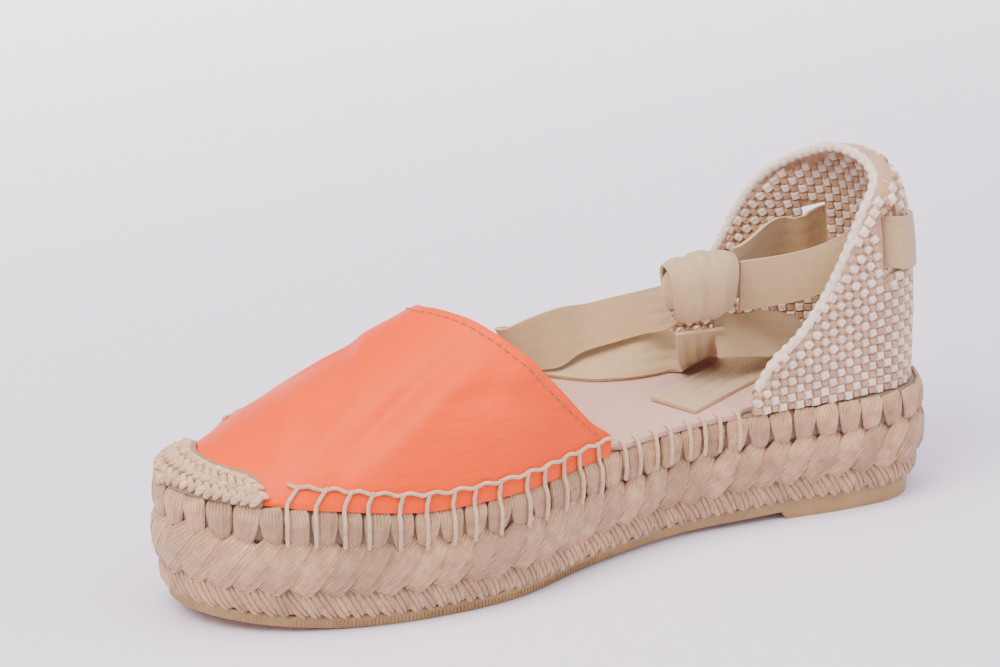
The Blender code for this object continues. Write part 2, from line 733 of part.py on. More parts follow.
def build_knot(rings=8, around=14):
    """Round body of the knot."""
    mat = material("ribbon_twill", (0.52, 0.43, 0.24), 0.85)
    bpy.ops.mesh.primitive_uv_sphere_add(segments=around, ring_count=rings, radius=0.5)
    ball = bpy.context.object
    points = np.array([vertex.co[:] for vertex in ball.data.vertices])
    faces = [tuple(face.vertices) for face in ball.data.polygons]
    bpy.data.objects.remove(ball)
    squared = points * (np.abs(2 * points) + 1e-9) ** -KNOT_SQUARING
    add_piece("ribbon_knot", squared * KNOT_SIZE + KNOT_PLACE, faces, mat)


# Free ribbon ends, in millimetres: both edges of the ribbon at places along it
LOOP = (
    # first edge x, y, z, second edge x, y, z
    (43.3, -5, 60.0, 60.0, -4.5, 58.8),
    (46.0, -1, 53.0, 63.0, 2, 52.0),
    (49.5, 4, 45.5, 67.0, 9, 45.5),
    (53.0, 9, 41.2, 70.0, 18, 42.5),
    (50.5, 12, 40.2, 61.0, 25, 46.0),
    (45.0, 12, 40.0, 51.5, 24.5, 49.0),
    (39.0, 12.5, 39.9, 45.0, 24, 48.5),
    (33.0, 14, 39.8, 38.0, 27, 46.5),
    (26.0, 17, 39.6, 29.5, 32, 44.5),
    (18.0, 24, 39.5, 22.0, 38, 44.0),
    (11.5, 30, 40.0, 12.0, 38.5, 51.5),
    (6.5, 31, 42.0, 1.5, 34.5, 55.0),
    (8.0, 28, 42.5, 1.5, 29.0, 56.5),
    (13.5, 27.5, 41.5, 11.5, 30.5, 58.0),
    (19.5, 25.5, 42.2, 22.0, 31.0, 59.5),
    (26.5, 25.5, 45.5, 31.0, 31.5, 59.0),
    (38.0, 22.5, 48.5, 41.0, 28.5, 61.0),
    (46.0, 20.0, 50.5, 48.0, 25.0, 63.0),
)
TAIL = (
    (69, -5, 48, 69, 2, 59.5),
    (76, -4.5, 46.5, 79, 6, 57.5),
    (85, -2.5, 44.5, 90, 10.5, 53),
    (92.5, 0.5, 43, 97, 14.5, 48.5),
    (96, 4.5, 41.6, 89.5, 19.5, 45),
    (88, 0.5, 40.7, 80.5, 16, 41.2),
    (75, -4.6, 40.4, 68, 10.8, 40.4),
    (61, -11, 40.2, 54, 4.6, 40.2),
    (42.6, -19.8, 40, 35.4, -4.4, 40),
)


def build_free_ribbon(name, rows, count):
    mat = material("ribbon_twill", (0.52, 0.43, 0.24), 0.85)
    edges = spline_rows(rows, count) * 0.001
    strip(name, edges[:, :3], edges[:, 3:], mat, across=2)


def stand_on_origin():
    """Put the middle of the footprint, measured without the free ribbon, over the origin."""
    loose = ("ribbon_knot", "ribbon_loop", "ribbon_tail")
    pieces = [piece for piece in bpy.data.objects if piece.type == "MESH"]
    corners = np.array([v.co[:] for piece in pieces if piece.name not in loose for v in piece.data.vertices])
    shift = -(corners.min(0) + corners.max(0)) / 2
    shift[2] = -corners[:, 2].min()
    for piece in pieces:
        for vertex in piece.data.vertices:
            vertex.co = np.array(vertex.co) + shift
    return shift


def main():
    for old in list(bpy.data.objects):
        bpy.data.objects.remove(old)
    build_outsole()
    build_braid_rows()
    build_insole()
    build_vamp()
    build_toe_cap()
    build_heel_counter()
    build_ribbon_band()
    build_knot()
    build_free_ribbon("ribbon_loop", LOOP, 40)
    build_free_ribbon("ribbon_tail", TAIL, 34)
    shift = stand_on_origin()
    print("moved to the origin by", np.round(shift * 1000, 3), "mm")


main()
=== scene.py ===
# %% [markdown]
# A platform espadrille sandal: a soft leather toe, a tall woven heel piece and a tied ribbon on a thick
# sole of braided jute, with a thin sheet of gum rubber under it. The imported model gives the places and
# sizes, and this lesson dresses it. Almost everything here is a strip, a tube or a wall that follows a
# few smooth curves, so the curves come first and each piece is then built on them.

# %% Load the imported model
import math

import bpy
import numpy as np
from mathutils import Matrix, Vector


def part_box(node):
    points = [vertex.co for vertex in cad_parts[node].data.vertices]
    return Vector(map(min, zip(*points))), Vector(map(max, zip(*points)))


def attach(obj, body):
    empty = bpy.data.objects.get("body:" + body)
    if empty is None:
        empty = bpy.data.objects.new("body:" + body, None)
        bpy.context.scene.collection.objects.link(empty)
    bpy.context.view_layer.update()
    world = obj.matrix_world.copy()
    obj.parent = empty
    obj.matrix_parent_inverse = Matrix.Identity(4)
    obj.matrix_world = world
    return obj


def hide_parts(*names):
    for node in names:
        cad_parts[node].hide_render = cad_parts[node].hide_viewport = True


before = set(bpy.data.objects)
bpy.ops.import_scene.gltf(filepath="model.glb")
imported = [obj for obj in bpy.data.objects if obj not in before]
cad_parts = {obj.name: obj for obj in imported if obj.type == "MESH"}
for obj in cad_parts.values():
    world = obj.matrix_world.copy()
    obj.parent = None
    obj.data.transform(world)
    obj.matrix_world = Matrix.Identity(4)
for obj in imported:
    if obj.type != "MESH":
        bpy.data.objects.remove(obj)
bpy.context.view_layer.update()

print("nodes:", ", ".join(sorted(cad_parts)))

# %% [markdown]
# The camera and the floor stand first. A long lens from about 1.2 m away, a little above the shoe and
# turned towards its toe, gives the flat perspective of a product picture. The floor is one pale sheet
# that is larger than the view, so no horizon shows, and three broad lamps over it leave only a soft
# shadow.

# %% Camera, floor and light
AIM = np.array([-0.0135, 0.0004, 0.0682])
AZIMUTH, ELEVATION, DISTANCE = math.radians(-25.5), math.radians(22.0), 1.215
LENS, SENSOR = 146.5, 36.0
FLOOR_REACH = 4.0


def look_from(name, data, azimuth, elevation, distance):
    """An object that looks at the shoe from a direction."""
    back = np.array([
        math.sin(azimuth) * math.cos(elevation),
        -math.cos(azimuth) * math.cos(elevation),
        math.sin(elevation),
    ])
    side = np.cross([0, 0, 1], back)
    side /= np.linalg.norm(side)
    turn = Matrix(np.column_stack([side, np.cross(back, side), back]).tolist()).to_4x4()
    item = bpy.data.objects.new(name, data)
    item.matrix_world = Matrix.Translation((AIM + back * distance).tolist()) @ turn
    bpy.context.scene.collection.objects.link(item)
    return item


lens = bpy.data.cameras.new("camera")
lens.lens, lens.sensor_width = LENS, SENSOR
bpy.context.scene.camera = look_from("camera", lens, AZIMUTH, ELEVATION, DISTANCE)

LAMPS = (
    # name, azimuth, elevation, distance, size, power, colour
    ("key", -70, 52, 1.3, 0.9, 23, (1.0, 0.96, 0.92)),
    ("top", 10, 84, 1.4, 1.4, 22, (1.0, 0.97, 0.98)),
    ("fill", 55, 30, 1.5, 1.2, 9, (0.95, 0.96, 1.0)),
)
for name, azimuth, elevation, distance, size, power, colour in LAMPS:
    lamp = bpy.data.lights.new(name, "AREA")
    lamp.shape, lamp.size, lamp.energy, lamp.color = "DISK", size, power, colour
    look_from(name, lamp, math.radians(azimuth), math.radians(elevation), distance)

world = bpy.data.worlds.new("studio")
world.use_nodes = True
world.node_tree.nodes["Background"].inputs["Color"].default_value = (0.92, 0.87, 0.96, 1)
world.node_tree.nodes["Background"].inputs["Strength"].default_value = 0.75
bpy.context.scene.world = world
print("camera, floor and", len(LAMPS), "lamps")

# %% [markdown]
# Finishes are node materials. Two short helpers keep them readable: one adds a node and joins what is
# given to its sockets, the other starts a shared group of nodes with named inputs and outputs. A group
# puts out only heights and colours, and each material has its own shader.

# %% Helpers for materials


def plug(tree, value, socket):
    """Joins a socket to another node's output, or gives it a plain value."""
    if isinstance(value, bpy.types.NodeSocket):
        tree.links.new(value, socket)
    else:
        socket.default_value = value


def node(tree, kind, inputs=None, **settings):
    """A shader node with its settings and inputs."""
    made = tree.nodes.new("ShaderNode" + kind)
    for key, value in settings.items():
        setattr(made, key, value)
    for socket, value in (inputs or {}).items():
        plug(tree, value, made.inputs[socket])
    return made


def sum_of(tree, operation, *values):
    return node(tree, "Math", dict(enumerate(values)), operation=operation).outputs[0]


def start_group(name, inputs, outputs):
    """An empty group of shader nodes, its input node and its output node."""
    group = bpy.data.node_groups.new(name, "ShaderNodeTree")
    for label, kind, value in inputs:
        socket = group.interface.new_socket(label, in_out="INPUT", socket_type="NodeSocket" + kind)
        if value is not None:
            socket.default_value = value
    for label, kind in outputs:
        group.interface.new_socket(label, in_out="OUTPUT", socket_type="NodeSocket" + kind)
    return group, group.nodes.new("NodeGroupInput").outputs, group.nodes.new("NodeGroupOutput").inputs


def use_group(tree, group, inputs):
    made = tree.nodes.new("ShaderNodeGroup")
    made.node_tree = group
    for label, value in inputs.items():
        plug(tree, value, made.inputs[label])
    return made.outputs


def start_finish(name, roughness, **settings):
    """A material, its tree and its shader, with the shader's plain values."""
    made = bpy.data.materials.new(name)
    made.use_nodes = True
    shader = made.node_tree.nodes["Principled BSDF"]
    shader.inputs["Roughness"].default_value = roughness
    for label, value in settings.items():
        shader.inputs[label.replace("_", " ")].default_value = value
    return made, made.node_tree, shader.inputs


def relief(tree, height, depth):
    """A bump of that depth in metres."""
    return node(tree, "Bump", {"Height": height, "Distance": depth, "Strength": 1.0}).outputs["Normal"]


def dimmed(tree, colour, amount):
    """A colour made darker or lighter by a number."""
    grey = node(tree, "CombineXYZ", {0: amount, 1: amount, 2: amount}).outputs[0]
    return node(tree, "VectorMath", {0: colour, 1: grey}, operation="MULTIPLY").outputs[0]


def blend_colours(tree, amount, first, second):
    mix = node(tree, "Mix", data_type="RGBA")
    for socket, value in ((mix.inputs[0], amount), (mix.inputs[6], first), (mix.inputs[7], second)):
        plug(tree, value, socket)
    return mix.outputs[2]


print("helpers for materials ready")

# %% [markdown]
# Three effects come back in several finishes. Mottle is soft colour variation. Fibres are the thin
# lines along a yarn, drawn on the strand's own map, which is in metres and runs round and along it.
# Twill is the herringbone of the ribbon: fine ribs whose lean turns back and forth every 2 mm across.

# %% Shared groups of nodes
mottle, gin, gout = start_group(
    "mottle",
    [("Place", "Vector", None), ("Size", "Float", 0.01), ("Light", "Color", None), ("Dark", "Color", None),
     ("Contrast", "Float", 1.6)],
    [("Colour", "Color"), ("Amount", "Float")],
)
scale = sum_of(mottle, "DIVIDE", 1.0, gin["Size"])
noise = node(mottle, "TexNoise", {"Vector": gin["Place"], "Scale": scale, "Detail": 4.0, "Roughness": 0.6})
centred = sum_of(mottle, "SUBTRACT", noise.outputs[0], 0.5)
amount = node(mottle, "Math", {0: sum_of(mottle, "MULTIPLY", centred, gin["Contrast"]), 1: 0.5},
              operation="ADD", use_clamp=True).outputs[0]
mottle.links.new(blend_colours(mottle, amount, gin["Dark"], gin["Light"]), gout["Colour"])
mottle.links.new(amount, gout["Amount"])

fibres, gin, gout = start_group(
    "fibres",
    [("Map", "Vector", None), ("Across", "Float", 0.0003), ("Along", "Float", 0.006),
     ("Twist", "Float", 0.3)],
    [("Height", "Float")],
)
parts = node(fibres, "SeparateXYZ", {0: gin["Map"]}).outputs
leaning = sum_of(fibres, "ADD", parts[0], sum_of(fibres, "MULTIPLY", parts[1], gin["Twist"]))
lines = node(fibres, "CombineXYZ", {
    0: sum_of(fibres, "DIVIDE", leaning, gin["Across"]),
    1: sum_of(fibres, "DIVIDE", parts[1], gin["Along"]),
}).outputs[0]
noise = node(fibres, "TexNoise", {"Vector": lines, "Scale": 1.0, "Detail": 3.0, "Roughness": 0.55})
fibres.links.new(noise.outputs[0], gout["Height"])

twill, gin, gout = start_group(
    "twill",
    [("Map", "Vector", None), ("Rib", "Float", 0.00075), ("Column", "Float", 0.0021)],
    [("Height", "Float")],
)
parts = node(twill, "SeparateXYZ", {0: gin["Map"]}).outputs
zigzag = sum_of(twill, "PINGPONG", parts[0], gin["Column"])
ribs = sum_of(twill, "DIVIDE", sum_of(twill, "ADD", parts[1], zigzag), gin["Rib"])
wave = sum_of(twill, "SINE", sum_of(twill, "MULTIPLY", ribs, 2 * math.pi))
twill.links.new(sum_of(twill, "MULTIPLY_ADD", wave, 0.5, 0.5), gout["Height"])
print("groups:", mottle.name, fibres.name, twill.name)

# %% [markdown]
# Now the finishes themselves. Jute and cotton yarns share one recipe with other colours. Their tint
# attribute makes each strand a little lighter or darker than its neighbour, as real bundles are.

# %% Yarn, thread and jute finishes


def yarn_finish(name, light, dark, across=0.00035, along=0.007, depth=0.00025, roughness=0.9, twist=0.3):
    """A matt yarn with lines along it and a tint of its own, darker in the grooves between the lines as
    painted shade.
    """
    made, tree, shader = start_finish(name, roughness, Sheen_Weight=0.25, Sheen_Roughness=0.6)
    place = node(tree, "TexCoord").outputs["Object"]
    strand_map = node(tree, "UVMap", uv_map="UVMap").outputs[0]
    tint = node(tree, "Attribute", attribute_name="tint").outputs["Fac"]
    spots = use_group(tree, mottle, {"Place": place, "Size": 0.004, "Light": (*light, 1), "Dark": (*dark, 1)})
    lines = use_group(tree, fibres, {"Map": strand_map, "Across": across, "Along": along, "Twist": twist})
    shade = node(tree, "MapRange", {0: tint, 1: 0.0, 2: 1.0, 3: 0.80, 4: 1.12}).outputs[0]
    # The low fibre lines darken the colour: painted shade in the grooves between the fibres.
    painted_groove_shade = node(tree, "MapRange", {0: lines["Height"], 1: 0.30, 2: 0.62, 3: 0.55, 4: 1.05}).outputs[0]
    both = sum_of(tree, "MULTIPLY", shade, painted_groove_shade)
    tinted = dimmed(tree, spots["Colour"], both)
    tree.links.new(tinted, shader["Base Color"])
    tree.links.new(relief(tree, lines["Height"], depth), shader["Normal"])
    return made


jute = yarn_finish("jute", (0.72, 0.445, 0.24), (0.36, 0.18, 0.085))
jute_knit = yarn_finish("jute_knit", (0.84, 0.55, 0.31), (0.56, 0.32, 0.17))
# The core jute is darker than the yarns: its colour is painted shade for the gaps between them.
jute_core = yarn_finish("jute_core", (0.36, 0.25, 0.14), (0.22, 0.14, 0.07))
linen_thread = yarn_finish("linen_thread", (0.84, 0.58, 0.36), (0.66, 0.42, 0.24), across=0.0002, twist=1.2)
cream_cotton = yarn_finish("cream_cotton", (0.95, 0.79, 0.66), (0.82, 0.61, 0.47), depth=0.00012)
tan_cotton = yarn_finish("tan_cotton", (0.66, 0.40, 0.23), (0.50, 0.28, 0.15), depth=0.00012)
orange_thread = yarn_finish("orange_thread", (0.62, 0.14, 0.01), (0.42, 0.08, 0.01), twist=1.0)
print("yarn finishes ready")

# %% [markdown]
# The leather is smooth and soft. Its grain is a fine pebble of small cells that shows only close up,
# with longer faint wrinkles low on the sides, and its colour drifts a little. The insole leather is the
# same skin undyed. The ribbon's twill is read from the ribbon's own map, so that its ribs follow every
# fold, and its colour is darker between the ribs as painted shade. The gum rubber lets a little light
# in, and has dust and small bubbles.

# %% Leather, ribbon and rubber finishes
pebble, gin, gout = start_group(
    "pebble",
    [("Place", "Vector", None), ("Cell", "Float", 0.0008), ("Wrinkle", "Float", 0.012)],
    [("Height", "Float")],
)
cells = node(pebble, "TexVoronoi", {
    "Vector": gin["Place"], "Scale": sum_of(pebble, "DIVIDE", 1.0, gin["Cell"]), "Smoothness": 0.6,
}, feature="SMOOTH_F1")
parts = node(pebble, "SeparateXYZ", {0: gin["Place"]}).outputs
flat = node(pebble, "CombineXYZ", {0: parts[0], 1: parts[1], 2: sum_of(pebble, "MULTIPLY", parts[2], 7.0)})
folds = node(pebble, "TexNoise", {
    "Vector": flat.outputs[0], "Scale": sum_of(pebble, "DIVIDE", 1.0, gin["Wrinkle"]), "Detail": 3.0,
})
total = sum_of(pebble, "MULTIPLY_ADD", cells.outputs[0], 0.25, folds.outputs[0])
pebble.links.new(total, gout["Height"])


def leather_finish(name, light, dark, roughness, depth):
    made, tree, shader = start_finish(name, roughness, Specular_IOR_Level=0.2)
    place = node(tree, "TexCoord").outputs["Object"]
    drift = use_group(tree, mottle, {"Place": place, "Size": 0.045, "Light": (*light, 1), "Dark": (*dark, 1)})
    height = use_group(tree, pebble, {"Place": place})["Height"]
    tree.links.new(drift["Colour"], shader["Base Color"])
    ends = {1: 0.0, 2: 1.0, 3: roughness - 0.05, 4: roughness + 0.06}
    worn = node(tree, "MapRange", {0: drift["Amount"], **ends})
    tree.links.new(worn.outputs[0], shader["Roughness"])
    tree.links.new(relief(tree, height, depth), shader["Normal"])
    return made


orange_leather = leather_finish("orange_leather", (0.96, 0.085, 0.0), (0.84, 0.058, 0.0), 0.46, 0.00030)
pale_leather = leather_finish("pale_leather", (0.62, 0.37, 0.295), (0.55, 0.315, 0.25), 0.55, 0.0002)


def ribbon_finish(name, light, dark):
    made, tree, shader = start_finish(name, 0.72, Sheen_Weight=0.3, Sheen_Roughness=0.5)
    place = node(tree, "TexCoord").outputs["Object"]
    ribbon_map = node(tree, "UVMap", uv_map="UVMap").outputs[0]
    weave = use_group(tree, twill, {"Map": ribbon_map})
    drift = use_group(tree, mottle, {"Place": place, "Size": 0.006, "Light": (*light, 1), "Dark": (*dark, 1),
                                     "Contrast": 0.8})
    # Darker between the twill ribs: painted shade in the grooves.
    painted_rib_shade = node(tree, "MapRange", {0: weave["Height"], 1: 0.0, 2: 1.0, 3: 0.78, 4: 1.08}).outputs[0]
    tinted = dimmed(tree, drift["Colour"], painted_rib_shade)
    tree.links.new(tinted, shader["Base Color"])
    tree.links.new(relief(tree, weave["Height"], 0.00016), shader["Normal"])
    return made


ribbon_twill = ribbon_finish("ribbon_twill", (0.66, 0.45, 0.235), (0.54, 0.35, 0.165))

gum_rubber, tree, shader = start_finish("gum_rubber", 0.42, Coat_Weight=0.15, Coat_Roughness=0.3)
shader["Subsurface Weight"].default_value = 0.25
shader["Subsurface Radius"].default_value = (0.004, 0.002, 0.001)
place = node(tree, "TexCoord").outputs["Object"]
haze = use_group(tree, mottle, {"Place": place, "Size": 0.012, "Light": (0.46, 0.29, 0.11, 1),
                                "Dark": (0.27, 0.155, 0.05, 1)})
bubbles = use_group(tree, mottle, {"Place": place, "Size": 0.0012, "Light": (1, 1, 1, 1),
                                   "Dark": (0, 0, 0, 1)})
tree.links.new(haze["Colour"], shader["Base Color"])
tree.links.new(relief(tree, bubbles["Amount"], 0.0001), shader["Normal"])
print("leather, ribbon and rubber finishes ready")

# %% [markdown]
# The floor is a pale sheet with a faint lilac cast. Behind the shoe it glows a little, like a lit
# backdrop that curves up from the table, so the picture grows lighter towards its top.

# %% Floor
floor_finish, tree, shader = start_finish("floor", 0.55)
place = node(tree, "TexCoord").outputs["Object"]
paper = use_group(tree, mottle, {"Place": place, "Size": 0.5, "Light": (0.90, 0.82, 0.96, 1),
                                 "Dark": (0.87, 0.79, 0.93, 1)})
behind = node(tree, "SeparateXYZ", {0: place}).outputs[1]
glow = node(tree, "MapRange", {0: behind, 1: 0.05, 2: 1.1, 3: 0.0, 4: 3.2}, interpolation_type="SMOOTHSTEP")
shader["Emission Color"].default_value = (1.0, 0.93, 1.0, 1)
tree.links.new(glow.outputs[0], shader["Emission Strength"])
tree.links.new(paper["Colour"], shader["Base Color"])
floor_mesh = bpy.data.meshes.new("floor")
corners = [(x * FLOOR_REACH, y * FLOOR_REACH, 0) for x, y in ((-1, -1), (1, -1), (1, 1), (-1, 1))]
floor_mesh.from_pydata(corners, [], [(0, 1, 2, 3)])
floor_mesh.materials.append(floor_finish)
floor = bpy.data.objects.new("floor", floor_mesh)
bpy.context.scene.collection.objects.link(floor)
print("floor", 2 * FLOOR_REACH, "m wide")

# %% [markdown]
# The shape of the shoe comes from a few named sizes and short tables, the same ones that the solids
# were made from. The outline is a closed curve of shares of the ball's width, the deck is the top of
# the jute, and the crown and the heel edge give the upper its height. Everything else is measured on
# these curves.

# %% Curves and sizes of the sole
SOLE_LENGTH, BALL_WIDTH = 0.252, 0.088
DECK_TOE, DECK_BALL, DECK_HEEL = 0.0435, 0.0352, 0.0376
TOE_SPRING, ARCH_RISE, RUBBER, RUBBER_INSET = 0.0062, 0.0026, 0.0040, 0.0040
ROW_INSET, FIT = 0.0016, 0.0003
SPRING_END, BALL_END, BREAST = 0.26, 0.37, 0.79
TOE_X = -SOLE_LENGTH / 2
OUTLINE = (
    # station, inner side, outer side
    (0.012, -0.180, 0.062), (0.040, -0.275, 0.152), (0.100, -0.382, 0.272), (0.180, -0.457, 0.380),
    (0.280, -0.500, 0.464), (0.400, -0.486, 0.495), (0.520, -0.371, 0.464), (0.640, -0.298, 0.425),
    (0.760, -0.309, 0.393), (0.880, -0.336, 0.326), (0.950, -0.318, 0.233), (0.987, -0.228, 0.105),
)
TIP_SHARE = HEEL_SHARE = -0.055
DECK = (
    # station, weight of toe, ball and heel height
    (0.00, 1.00, 0.00, 0.00), (0.15, 0.52, 0.48, 0.00), (0.30, 0.00, 1.00, 0.00), (0.45, 0.00, 0.78, 0.22),
    (0.60, 0.00, 0.45, 0.55), (0.80, 0.00, 0.10, 0.90), (1.00, 0.00, 0.00, 1.00),
)


def hermite(xs, ys, slope, x):
    x = np.asarray(x, float)
    i = np.clip(np.searchsorted(xs, x, side="right") - 1, 0, len(xs) - 2)
    h = xs[i + 1] - xs[i]
    t = (x - xs[i]) / h
    start = (1 + 2 * t) * (1 - t) ** 2 * ys[i] + t * (1 - t) ** 2 * h * slope[i]
    return start + t * t * (3 - 2 * t) * ys[i + 1] + t * t * (t - 1) * h * slope[i + 1]


def flowing_curve(xs, ys, x):
    """Cubic through the points whose slopes follow their neighbours."""
    xs, ys = np.asarray(xs, float), np.asarray(ys, float)
    return hermite(xs, ys, np.gradient(ys, xs), x)


def smooth_curve(xs, ys, x):
    """Cubic through the points, with slopes that never overshoot."""
    xs, ys = np.asarray(xs, float), np.asarray(ys, float)
    steps = np.diff(xs)
    rise = np.diff(ys) / steps
    slope = np.concatenate([rise[:1], np.zeros(len(xs) - 2), rise[-1:]])
    same_way = rise[:-1] * rise[1:] > 0
    first, second = steps[1:] + 2 * steps[:-1], steps[1:] * 2 + steps[:-1]
    low, high = np.where(same_way, rise[:-1], 1), np.where(same_way, rise[1:], 1)
    slope[1:-1] = np.where(same_way, (first + second) / (second / low + first / high), 0)
    return hermite(xs, ys, slope, x)


def smoothstep(low, high, x):
    t = np.clip((x - low) / (high - low), 0, 1)
    return t * t * (3 - 2 * t)


def station(x):
    return np.clip((np.asarray(x) - TOE_X) / SOLE_LENGTH, 0, 1)


def deck(x):
    """Height of the top of the jute."""
    table = np.array(DECK)
    toe, ball, heel = (smooth_curve(table[:, 0], table[:, k], station(x)) for k in (1, 2, 3))
    return toe * DECK_TOE + ball * DECK_BALL + heel * DECK_HEEL


def ground_side(x):
    """Height of the rubber's underside ahead of the heel block."""
    u = station(x)
    spring = TOE_SPRING * np.clip((SPRING_END - u) / SPRING_END, 0, 1) ** 2
    return spring + ARCH_RISE * np.clip((u - BALL_END) / (BREAST - BALL_END), 0, 1) ** 1.3


def dense_outline():
    table = np.array(OUTLINE)
    angle = np.arccos(1 - 2 * table[:, 0])
    angles = np.concatenate([[0], angle, [math.pi], 2 * math.pi - angle[::-1], [2 * math.pi]])
    shares = np.concatenate([[TIP_SHARE], table[:, 1], [HEEL_SHARE], table[::-1, 2], [TIP_SHARE]])
    angles = np.concatenate([angles[-4:-1] - 2 * math.pi, angles, angles[1:4] + 2 * math.pi])
    shares = np.concatenate([shares[-4:-1], shares, shares[1:4]])
    turn = np.linspace(0, 2 * math.pi, 1441)
    return np.stack([TOE_X * np.cos(turn), BALL_WIDTH * flowing_curve(angles, shares, turn)], 1)


OUTLINE_POINTS = dense_outline()
along = np.roll(OUTLINE_POINTS[:-1], -1, 0) - np.roll(OUTLINE_POINTS[:-1], 1, 0)
along /= np.linalg.norm(along, axis=1)[:, None]
OUTLINE_OUT = np.stack([along[:, 1], -along[:, 0]], 1)
OUTLINE_OUT = np.concatenate([OUTLINE_OUT, OUTLINE_OUT[:1]])


def run_along(points):
    """Length along a polyline from its start to each of its points."""
    return np.concatenate([[0], np.cumsum(np.linalg.norm(np.diff(points, axis=0), axis=1))])


def walk(points, start, end, count):
    """Evenly spaced points of a polyline between two of its own places, each a share of its length."""
    run = run_along(points)
    want = np.linspace(start, end, count) * run[-1]
    return np.stack([np.interp(want, run, points[:, k]) for k in range(points.shape[1])], 1)


def outline_ring(inset, count):
    """Points round the outline, as many on each side, moved inward by inset."""
    moved = OUTLINE_POINTS - OUTLINE_OUT * np.reshape(inset, (-1, 1))
    half = len(moved) // 2
    inner = walk(moved[:half + 1], 0, 1, count // 2 + 1)[:-1]
    return np.concatenate([inner, walk(moved[half:], 0, 1, count // 2 + 1)[:-1]])


def side_edges(x, inset):
    """Sideways places of the inner and the outer edge at x."""
    moved = OUTLINE_POINTS - OUTLINE_OUT * inset
    half = len(moved) // 2
    inner = np.interp(x, moved[:half + 1, 0], moved[:half + 1, 1])
    return inner, np.interp(x, moved[half:, 0][::-1], moved[half:, 1][::-1])


low, high = np.array(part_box("braid_top"))
SHIFT = np.array([0, (low[1] + high[1] - OUTLINE_POINTS[:, 1].min() - OUTLINE_POINTS[:, 1].max()) / 2, 0])
print("outline", len(OUTLINE_POINTS), "points, moved sideways by", np.round(SHIFT[1] * 1000, 2), "mm")

# %% [markdown]
# Every mesh here is a list of parts, each with its points, its four-sided and three-sided faces and its
# map. One function joins the parts into an object and turns the faces outwards by the sign of the
# volume. The map is kept in metres, so one yarn or weave size is right on every piece.

# %% Helpers for meshes


def grid_part(grid, wrap=False, uv=None):
    """Faces over a grid of points; wrap joins its last row of points to its first."""
    rows, columns = grid.shape[:2]
    index = np.arange(rows * columns).reshape(rows, columns)
    if uv is None:
        across = np.linalg.norm(np.diff(grid, axis=1), axis=2).mean(0)
        down = np.linalg.norm(np.diff(grid, axis=0), axis=2).mean(1)
        u, v = np.concatenate([[0], np.cumsum(across)]), np.concatenate([[0], np.cumsum(down)])
        uv = np.stack(np.meshgrid(u, v), -1)
    uv = np.asarray(uv, float)
    if wrap:
        index = np.concatenate([index, index[:1]])
        gap = np.linalg.norm(grid[0] - grid[-1], axis=1).mean()
        uv = np.concatenate([uv, uv[-1:] + [0, gap]])
    quads = np.stack([index[:-1, :-1], index[:-1, 1:], index[1:, 1:], index[1:, :-1]], -1).reshape(-1, 4)
    maps = np.stack([uv[:-1, :-1], uv[:-1, 1:], uv[1:, 1:], uv[1:, :-1]], 2).reshape(-1, 4, 2)
    return {"points": grid.reshape(-1, 3), "faces": quads.tolist(), "maps": maps.reshape(-1, 2)}


def join_parts(parts):
    points, faces, maps, base = [], [], [], 0
    for part in parts:
        points.append(part["points"])
        faces += [[i + base for i in face] for face in part["faces"]]
        maps.append(part["maps"])
        base += len(part["points"])
    return {"points": np.concatenate(points), "faces": faces, "maps": np.concatenate(maps)}


def outward(part):
    """The part with its faces turned outwards, by the sign of its volume."""
    points, volume = part["points"], 0.0
    size = max(len(face) for face in part["faces"])
    for count in range(3, size + 1):
        faces = np.array([face for face in part["faces"] if len(face) == count])
        for k in range(1, count - 1):
            if len(faces):
                a, b, c = points[faces[:, 0]], points[faces[:, k]], points[faces[:, k + 1]]
                volume += (a * np.cross(b, c)).sum()
    if volume > 0:
        return part
    maps, start, turned = [], 0, []
    for face in part["faces"]:
        maps.append(part["maps"][start:start + len(face)][::-1])
        turned.append(face[::-1])
        start += len(face)
    return {"points": points, "faces": turned, "maps": np.concatenate(maps)}


def make_piece(name, parts, finish, tints=None, sharp=50):
    """An object from closed parts. tints gives each part's lightness from 0 to 1."""
    closed = [outward(part) for part in parts]
    whole = join_parts(closed)
    mesh = bpy.data.meshes.new(name)
    mesh.from_pydata((whole["points"] + SHIFT).tolist(), [], whole["faces"])
    layer = mesh.uv_layers.new(name="UVMap")
    layer.data.foreach_set("uv", whole["maps"].ravel())
    tint = mesh.attributes.new("tint", "FLOAT", "POINT")
    values = np.full(len(closed), 0.5) if tints is None else np.asarray(tints, float)
    tint.data.foreach_set("value", np.repeat(values, [len(part["points"]) for part in closed]))
    mesh.materials.append(finish)
    mesh.shade_smooth()
    mesh.set_sharp_from_angle(angle=math.radians(sharp))
    piece = bpy.data.objects.new(name, mesh)
    bpy.context.scene.collection.objects.link(piece)
    return piece


